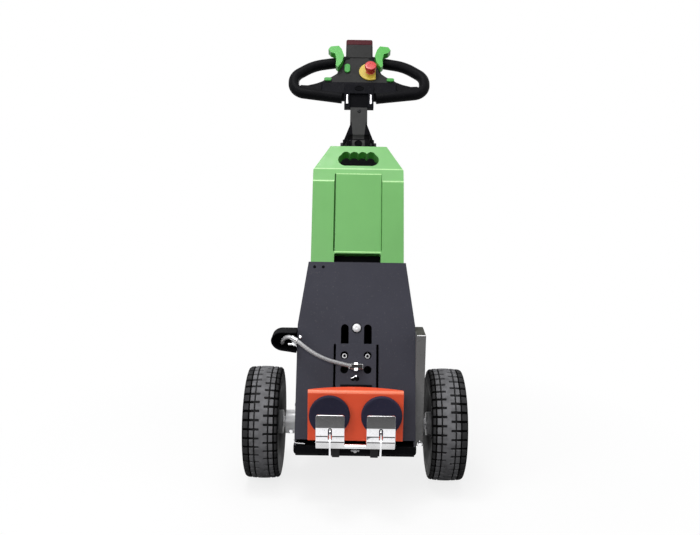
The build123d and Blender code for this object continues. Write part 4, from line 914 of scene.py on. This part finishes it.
tip = block(3.6, 47, 9, 222)
rework(tip)
choose_edges(tip, lambda place: place.y > 0.01 and place.z > 0.23)
bpy.ops.mesh.bevel(offset=0.007, segments=2, affect="EDGES")
soften(leave(tip), 0.6)
fitting(tip, "rib_tips", bright_zinc, [at(FRONT, x, 174.5, 0) for x in (-53, 53)])
print("hooks:", len(hooks.data.polygons), "faces")

# %% [markdown]
# The castor's tread is already round on the drawing, so it stays as it is and only takes a finish. So
# do the plain steel pins.

# %% Finishes on the solids that stay
STAYING = (
    ("castor_tyre", castor_rubber),
    ("castor_axle", plated),
    ("axle_left", dull_steel),
    ("axle_right", dull_steel),
)
for node, paint in STAYING:
    slots = nodes[node].material_slots
    for slot in slots:
        slot.material = paint
    if not slots:
        nodes[node].data.materials.append(paint)
print("finished in place:", len(STAYING))

# %% [markdown]
# ## Bolts
#
# Three kinds of head hold the machine together: cap screws with a sunk socket, six-sided heads on
# washers, and low domes. Each kind starts as a cylinder or a profile, is shaped once in edit mode and
# then copied to its places. Their sizes are in millimetres.

# %% Kinds of bolt head
def plain_cylinder(sides, radius, height):
    """A cylinder that stands on the origin, in edit mode."""
    bpy.ops.object.select_all(action="DESELECT")
    bpy.ops.mesh.primitive_cylinder_add(vertices=sides, radius=radius / 1000, depth=height / 1000)
    piece = bpy.context.object
    rework(piece)
    bpy.ops.transform.translate(value=(0, 0, height / 2000))
    return piece


def cap_screw(radius, height):
    """A screw head whose top is inset and sunk to a socket."""
    piece = plain_cylinder(24, radius, height)
    choose(piece, lambda face: face.normal.z > 0.9)
    bpy.ops.mesh.inset(thickness=0.45 * radius / 1000)
    bpy.ops.mesh.extrude_region_move(TRANSFORM_OT_translate={"value": (0, 0, -0.6 * height / 1000)})
    return soften(leave(piece), 0.10 * radius, 2, 40)


def washer(radius, height):
    """A flat disc with its upper edge broken."""
    rim = [(radius, 0), (radius, 0.7 * height), (radius - 0.3 * height, height)]
    return turned([(0, 0), *rim, (0, height)])


def hex_head(flats, height, flange=1.6):
    """A six-sided head with its top edges broken, standing on a washer."""
    piece = plain_cylinder(6, flats / 2 / cos(pi / 6), height + flange)
    choose(piece, lambda face: face.normal.z > 0.9)
    bpy.ops.mesh.bevel(offset=0.10 * flats / 1000, segments=2, affect="EDGES")
    return joined(leave(piece), washer(0.72 * flats, flange))


def dome(radius, height):
    """A low round head with a small sunk drive."""
    drive = height - 1.6
    # shares of the radius and of the height
    cap = ((0.34, 1), (0.6, 0.94), (0.85, 0.62), (1, 0.18), (1, 0), (0, 0))
    return turned([(0, drive), (0.30 * radius, drive)] + [(r * radius, h * height) for r, h in cap])


print("bolt heads ready")

# %% [markdown]
# ## Fittings on the front plate
#
# The carriage hangs on two screws that slide in the plate's slots, with a big dome above them as the
# stop. A black disc under the dome is its painted shadow ring. A strip behind the plate takes their
# threads, and the screws are painted black low in their holes as painted shade. The cable ends in a
# plated cross barrel, whose front faces are painted dark as a painted reflection, and under it sits a
# lock pin, with two black discs below it as painted shadows. Small plugs close the two peep holes.

# %% Fittings on the front plate
# places across and along the plate, in millimetres
SCREW_X, SCREW_ALONG = 25.8, 183.4
CENTRE_X, STOP_ALONG, BARREL_ALONG = 0.6, 247.6, 158.5
PEEP_X, PEEP_ALONG = (-98, -78), 388
fitting(dome(9.5, 4), "stop_bolt", alloy, [at(PLATE, CENTRE_X, STOP_ALONG, 1.2)])
# a black disc wider than the dome stands in for the dome's shadow ring: painted shadow
fitting(washer(11.4, 1.2), "stop_bolt_painted_shadow", contact, [at(PLATE, CENTRE_X, STOP_ALONG, 0)])
fitting(soften(block(84, 26, 5), 0.8), "clamp_strip", black, [at(PLATE, 0, 185, -9)])
screw = joined(cap_screw(5.6, 6), turned([(0, -5), (3.4, -5), (3.4, 0.2), (0, 0.2)], 20))
places = [at(PLATE, x, SCREW_ALONG, 0.5) for x in (-SCREW_X, SCREW_X)]
screws = fitting(screw, "carriage_screws", dull_steel, places)
# the middle of each screw below its top rim is painted black as painted shade in its hole
second_paint(screws, contact, lambda face: abs(abs(face.center.x) - SCREW_X / 1000) < 0.003
             and (to_plate @ face.center).z < 0.0055)
fitting(dome(4.8, 3), "edge_bolt", bright_zinc, [at(PLATE, -127, 225.2, 0)])
plug = turned([(0, 1.0), (2.2, 0.9), (3.4, 0.4), (3.5, 0), (2.3, 0), (2.3, -3.4), (0, -3.4)], 20)
fitting(plug, "peep_plugs", contact, [at(PLATE, x, PEEP_ALONG, 0) for x in PEEP_X])

stem = turned([(0, 7), (8, 7), (8, 9.4), (6.4, 10), (5, 10.4), (5, 16), (0, 16)], 28)
barrel = joined(soften(block(32, 12, 12, 14), 2.4, 3), stem)
lay(barrel, at(PLATE, 0, BARREL_ALONG, 0))
settle(barrel, "cable_barrel", "chassis", plated, 35, ["cable_fitting"])
# the barrel's faces that face straight out are painted dark as a painted reflection
second_paint(barrel, iron, lambda face: face.normal.dot(plate_out) > 0.95)
COLLAR = ((6.2, 3), (7.2, 4), (7.2, 8.4), (5.6, 9.5), (0, 9.5))
collar = turned([(r, -h) for r, h in reversed(COLLAR)] + list(COLLAR), 6)
lying = at(PLATE, 0, BARREL_ALONG, 20.5) @ Matrix.Rotation(pi / 2, 4, "X")
fitting(collar, "barrel_collar", bright_zinc, [lying])

lever = lay(soften(block(9, 2, 2, 1), 0.5), spot((-0.0065, -0.003, 0), 0.5, "Z"))
fitting(joined(dome(3.6, 3.5), lever), "lock_pin", bright_zinc, [at(PLATE, CENTRE_X, 138.5, 9)])
# two black discs under the lock pin stand in for its shadows: painted shadows
lock_shadow_places = [at(PLATE, x, 133.2, 7) for x in (-6.2, 2.4)]
fitting(washer(5.0, 1.8), "lock_pin_painted_shadows", contact, lock_shadow_places)
fitting(soften(block(70, 5, 3), 0.8), "carriage_lip", black, [at(PLATE, CENTRE_X, 117.5, 7)])
print("plate fittings done")

# %% [markdown]
# ## Fittings round the beam
#
# A hexagon bolt and two screws sit in the middle of the beam, and a small dark bracket beside each
# hook's rib. A thin bright strip wraps the plate's lower left corner: it stands in for the highlight on
# the beam's edge, as a painted highlight. It is a line of points, pulled out to a ribbon and given a
# thickness. A short bright strip on the box's top front edge is a painted highlight in the same way.

# %% Fittings round the beam
def ribbon(points, depth, thickness):
    """A bent strip: points (across, up) in millimetres, pulled out in depth and thickened."""
    piece = pulled([(across, up, 0) for across, up in points])
    bpy.ops.mesh.extrude_region_move(TRANSFORM_OT_translate={"value": (0, 0, depth / 1000)})
    bpy.ops.mesh.select_all(action="SELECT")
    bpy.ops.mesh.normals_make_consistent(inside=False)
    leave(piece)
    wall = piece.modifiers.new("wall", "SOLIDIFY")
    wall.thickness = thickness / 1000
    wall.offset = 0
    bpy.ops.object.modifier_apply(modifier=wall.name)
    return piece


CORNER_STRIP = ((-133.6, 143.5), (-133.4, 139.5), (-132.0, 136.8), (-129.0, 135.2), (-121, 134.4),
                (-109.5, 133.6))
BEAM_FACE = 143
# this bright strip stands in for the highlight on the beam's edge: painted highlight
corner = soften(ribbon(CORNER_STRIP, 10, 1.8), 0.4, 2, 50)
fitting(corner, "corner_strip", bright_zinc, [at(FRONT, 0, 0, 134)])
fitting(hex_head(7, 4), "beam_bolt", dull_steel, [at(FRONT, 0.5, 119, BEAM_FACE)])
fitting(cap_screw(2.2, 3.5), "beam_screws", dull_steel, [at(FRONT, x, 120, BEAM_FACE) for x in (-6.5, 7.5)])
bracket = soften(block(17, 20, 9), 1.5, 3)
fitting(bracket, "rib_brackets", iron, [at(FRONT, x, 116, 142.8) for x in (-42, 42)])
fitting(hex_head(9, 5), "box_bolt", bright_zinc, [at(FRONT, 147, 116, 90)])
fitting(hex_head(9, 5, 3.5), "housing_bolt", bright_zinc, [at(FRONT, -149, 117, 22)])
stud = joined(hex_head(12, 7), turned([(0, 8), (3.6, 8), (3.6, 19), (2.8, 20), (0, 20)], 20))
fitting(stud, "cup_stud", bright_zinc, [spot((-0.133, AXLE_Y - 0.075, 0.3396), -pi / 2)])
box_low, box_high = corners("side_box")
box_highlight_place = (middle("side_box").x, box_low.y + 0.0005, box_high.z - 0.0011)
# a bright plated strip on the box's top front edge stands in for that edge's highlight: painted highlight
fitting(soften(block(19, 2.4, 1.6), 0.6), "box_edge_painted_highlight", bright_zinc, [spot(box_highlight_place)])
print("beam fittings done")

# %% [markdown]
# ## The tiller head's small parts
#
# Two bolts pinch the clamp's ears, an oval eye is sunk in its bridge, and a blank plate lies above the
# panel. A dust ring closes the gap round each of the pivot's bosses. The stop button is a mushroom, so it
# is turned from a profile.

# %% Tiller head details
BOSS_X = 0.0254
pinch = turned([(0, -13), (3.6, -13), (3.6, -4), (2.6, -3), (2.6, 13), (0, 13)], 20)
upright = Matrix.Rotation(-pi / 2, 4, "X")
places = [at(SHAFT, x, 121, 21.5) @ upright for x in (-30.5, 30.5)]
fitting(pinch, "pinch_bolts", bright_zinc, places, body="tiller")
eye = turned([(0, 0.4), (7.6, 0.4), (9.0, 1.4), (11.2, 1.2), (12.4, 0), (0, 0)], 36)
oval = at(SHAFT, 0, 153, 22) @ Matrix.Diagonal((1, 0.62, 1, 1))
fitting(eye, "clamp_eye", contact, [oval], "tiller")
fitting(dome(5, 3), "shaft_bolt", iron, [at(SHAFT, 1, 91.5, 16)], body="tiller")
plate = soften(block(64, 46, 1.6), 1.0, 3)
fitting(plate, "blank_plate", moulded, [at(HEAD, 0, 151, 18)], "tiller")
BOSS_RING = ((13.9, -3.2), (16.2, -3.2), (16.8, -2.6), (16.8, 2.6), (16.2, 3.2), (13.9, 3.2), (13.9, -3.2))
places = [spot(PIVOT + Vector((x, 0, 0)), pi / 2) for x in (-BOSS_X, BOSS_X)]
fitting(turned(BOSS_RING, 36), "boss_collars", contact, places)
MUSHROOM = ((0, 22.2), (5, 22.2), (5.6, 22.8), (12.4, 22.8), (14.4, 22), (15.4, 20.2), (15.5, 14.4),
            (14.6, 12.6), (12.4, 11), (11, 10), (11, 1), (12.2, 0), (0, 0))
mushroom = lay(turned(MUSHROOM, 40), at(HEAD, 29.5, 76, 22))
settle(mushroom, "stop_mushroom", "tiller", stop_red, 35, ["stop_button"])
print("tiller details done")

# %% [markdown]
# ## Wheels and castor
#
# Five lug nuts hold each rim, with a hub nut on the axle's end and a valve beside it. The castor's plate
# is bolted up from below, and a nut closes each end of its axle.

# %% Wheels and castor
LUGS, LUG_CIRCLE = 5, 0.036
RIM_FACE, AXLE_END, VALVE_FOOT = 0.2235, 0.2303, 0.2230
VALVE_BEHIND, VALVE_UP = 0.0127, 0.0391
VALVE = ((0, 0), (4.2, 0), (3.6, 5), (2.6, 7), (2.6, 15), (3.1, 15.4), (3.1, 20), (2.4, 21), (0, 21))
CASTOR_BOLT_X, CASTOR_BOLT_Y, CASTOR_NUT_X = 0.031, 0.041, 0.028
turns = [2 * pi * i / LUGS for i in range(LUGS)]
for side, sign in (("left", -1), ("right", 1)):
    def on_wheel(out, behind=0.0, up=0.0):
        """A place on this wheel that faces outward, measured from the axle."""
        return spot((sign * out, AXLE_Y + behind, AXLE_Z + up), sign * pi / 2)

    wheel = f"wheel_{side}"
    places = [on_wheel(RIM_FACE, LUG_CIRCLE * cos(turn), LUG_CIRCLE * sin(turn)) for turn in turns]
    fitting(hex_head(10, 6), f"lug_nuts_{side}", plated, places, body=wheel)
    fitting(hex_head(22, 5, 2), f"hub_nut_{side}", plated, [on_wheel(AXLE_END)], body=wheel)
    valve_place = on_wheel(VALVE_FOOT, VALVE_BEHIND, VALVE_UP)
    fitting(turned(VALVE, 20), f"valve_{side}", contact, [valve_place], wheel)
under = middle("castor_plate")
under.z = corners("castor_plate")[0].z
places = [spot(under + Vector((x, y, 0)), pi, "X")
          for x in (-CASTOR_BOLT_X, CASTOR_BOLT_X) for y in (-CASTOR_BOLT_Y, CASTOR_BOLT_Y)]
fitting(hex_head(12, 5), "castor_bolts", plated, places)
pin = middle("castor_axle")
places = [spot((sign * CASTOR_NUT_X, pin.y, pin.z), sign * pi / 2) for sign in (-1, 1)]
fitting(hex_head(16, 5, 1.2), "castor_nuts", plated, places, body=body_of["castor_fork"])
print("wheel and castor details done")

# %% [markdown]
# ## The back and the sides
#
# The hood and the side panels are sheet metal, so they are screwed on. One round-headed screw is modelled
# and copied to the hood's corners and along the panels. The hood's slope has its own working plane. Low
# louvres let the motor's heat out: each is a bar with its upper edge drawn down to a long slope.

# %% Back and sides
slope_up, slope_out = Vector((0, -0.512, 0.859)), Vector((0, 0.859, 0.512))
HOOD_SHEET = 0.004
HOOD = Matrix((Vector((-1, 0, 0)), slope_up, slope_out)).transposed().to_4x4()
HOOD.translation = Vector((0, AXLE_Y + 0.300, 0.215)) + slope_out * HOOD_SHEET
PANEL_X = 0.133
# side, screws as (behind the axle, up) in metres; the box covers the front of the right panel
PANEL_SCREWS = (
    (-1, ((-0.080, 0.200), (0.165, 0.360), (0.250, 0.200))),
    (1, ((0.165, 0.360), (0.250, 0.200))),
)
LOUVRES_ALONG = range(60, 181, 24)
places = [at(HOOD, x, along, 0) for x in (-112, 112) for along in (18, 240)]
fitting(dome(5, 3), "hood_screws", dull_steel, places)
places = [spot((side * PANEL_X, AXLE_Y + behind, up), side * pi / 2)
          for side, screws in PANEL_SCREWS for behind, up in screws]
fitting(dome(5, 3), "panel_screws", dull_steel, places)
louvre = block(120, 14, 5)
rework(louvre)
choose_edges(louvre, lambda place: place.y > 0.005 and place.z > 0.004)
bpy.ops.transform.translate(value=(0, 0, -0.0045))
soften(leave(louvre), 0.8)
fitting(louvre, "hood_louvres", hood_grey, [at(HOOD, 0, along, 0) for along in LOUVRES_ALONG])
print("back and sides done")

# %% [markdown]
# ## The studio
#
# A pale floor carries the machine and its shadow, and fades into plain white further out, so that no
# horizon shows. That white is only for the camera and for mirrors: the floor lights the machine as an
# ordinary floor would.

# %% Floor and world
FLOOR_LIT, FLOOR_SEEN = (0.12, 0.12, 0.12, 1), (0.90, 0.90, 0.90, 1)
FADE_START, FADE_END, FADE_LOW = 0.30, 0.95, 0.80
WHITE = (1, 1, 1, 1)
WORLD_STRENGTH = 0.32


def seen_directly(tree):
    """One for what the camera, a mirror or clear material sees, and zero for light that falls on things."""
    path = tree.nodes.new("ShaderNodeLightPath").outputs
    seen = reckon(tree, "MAXIMUM", path["Is Camera Ray"], path["Is Glossy Ray"])
    return reckon(tree, "MAXIMUM", seen, path["Is Transmission Ray"])


bpy.ops.object.select_all(action="DESELECT")
bpy.ops.mesh.primitive_plane_add(size=40, location=(0, 0, 0))
floor = bpy.context.object
floor.name = "studio_floor"
floor_paint, tree, shader = new_paint("studio_floor")
tree.nodes.clear()
shown = seen_directly(tree)
place = tree.nodes.new("ShaderNodeTexCoord").outputs["Object"]
away = add_node(tree, "VectorMath", {0: place}, operation="LENGTH")["Value"]
fade = reckon(tree, "MULTIPLY", ranged(tree, away, FADE_START, FADE_END, FADE_LOW, 1), shown)
matt = add_node(tree, "BsdfDiffuse", {"Color": mixed(tree, shown, FLOOR_LIT, FLOOR_SEEN)})["BSDF"]
glow = add_node(tree, "Emission", {"Color": WHITE})["Emission"]
both = add_node(tree, "MixShader", {0: fade, 1: matt, 2: glow})["Shader"]
add_node(tree, "OutputMaterial", {"Surface": both})
floor.data.materials.append(floor_paint)

world = bpy.data.worlds.new("studio")
bpy.context.scene.world = world
world.use_nodes = True
tree = world.node_tree
tree.nodes.clear()
soft = add_node(tree, "Background", {"Color": WHITE, "Strength": WORLD_STRENGTH})["Background"]
plain = add_node(tree, "Background", {"Color": WHITE})["Background"]
both = add_node(tree, "MixShader", {0: seen_directly(tree), 1: soft, 2: plain})["Shader"]
add_node(tree, "OutputWorld", {"Surface": both})
print("floor and world ready")

# %% [markdown]
# Two dark cards stand and lie in front of the machine, as studios use to give bright metal its dark
# lines. They show in reflections alone. Six large lamps give soft light from all round.

# %% Dark cards and lamps
card_paint, tree, shader = new_paint("studio_card")
shader["Base Color"].default_value = (0.10, 0.10, 0.10, 1)
# name, place, tip, width and length
CARDS = (
    ("studio_card_upright", (0, AXLE_Y - 2.6, 1.1), pi / 2, 5.0, 2.3),
    ("studio_card_lying", (0, AXLE_Y - 1.81, 0.002), 0, 5.0, 1.9),
)
for name, place, tip, width, length in CARDS:
    bpy.ops.object.select_all(action="DESELECT")
    bpy.ops.mesh.primitive_plane_add(size=1, location=place, rotation=(tip, 0, 0))
    card = bpy.context.object
    card.name = name
    card.scale = (width, length, 1)
    card.data.materials.append(card_paint)
    for unseen in ("visible_camera", "visible_diffuse", "visible_shadow", "visible_transmission"):
        setattr(card, unseen, False)

# name, place, aimed at, width, height, power
LAMPS = (
    ("lamp_top", (-0.2, -0.7, 2.6), (0, 0, 0.5), 1.8, 1.4, 20),
    ("lamp_key", (-0.45, -0.17, 2.6), (0, 0, 0.5), 0.6, 0.6, 12),
    ("lamp_left", (-2.0, -1.6, 1.7), (0, 0, 0.5), 1.0, 1.6, 21),
    ("lamp_right", (2.2, -1.2, 1.8), (0, 0, 0.5), 0.9, 1.6, 8),
    ("lamp_front", (-0.5, -2.4, 1.5), (0, 0, 0.3), 1.4, 0.9, 15),
    ("lamp_back", (0.4, 2.2, 1.8), (0, 0, 0.6), 1.6, 1.2, 14),
)
for name, place, target, width, height, power in LAMPS:
    lamp = bpy.data.lights.new(name, "AREA")
    lamp.shape = "RECTANGLE"
    lamp.size, lamp.size_y, lamp.energy = width, height, power
    holder = new_object(name, lamp)
    holder.location = place
    holder.rotation_euler = (Vector(target) - Vector(place)).to_track_quat("-Z", "Y").to_euler()
bpy.context.scene.view_settings.view_transform = "Standard"
print("lamps:", len(LAMPS))

# %% [markdown]

# %% Finish
print("scene ready")
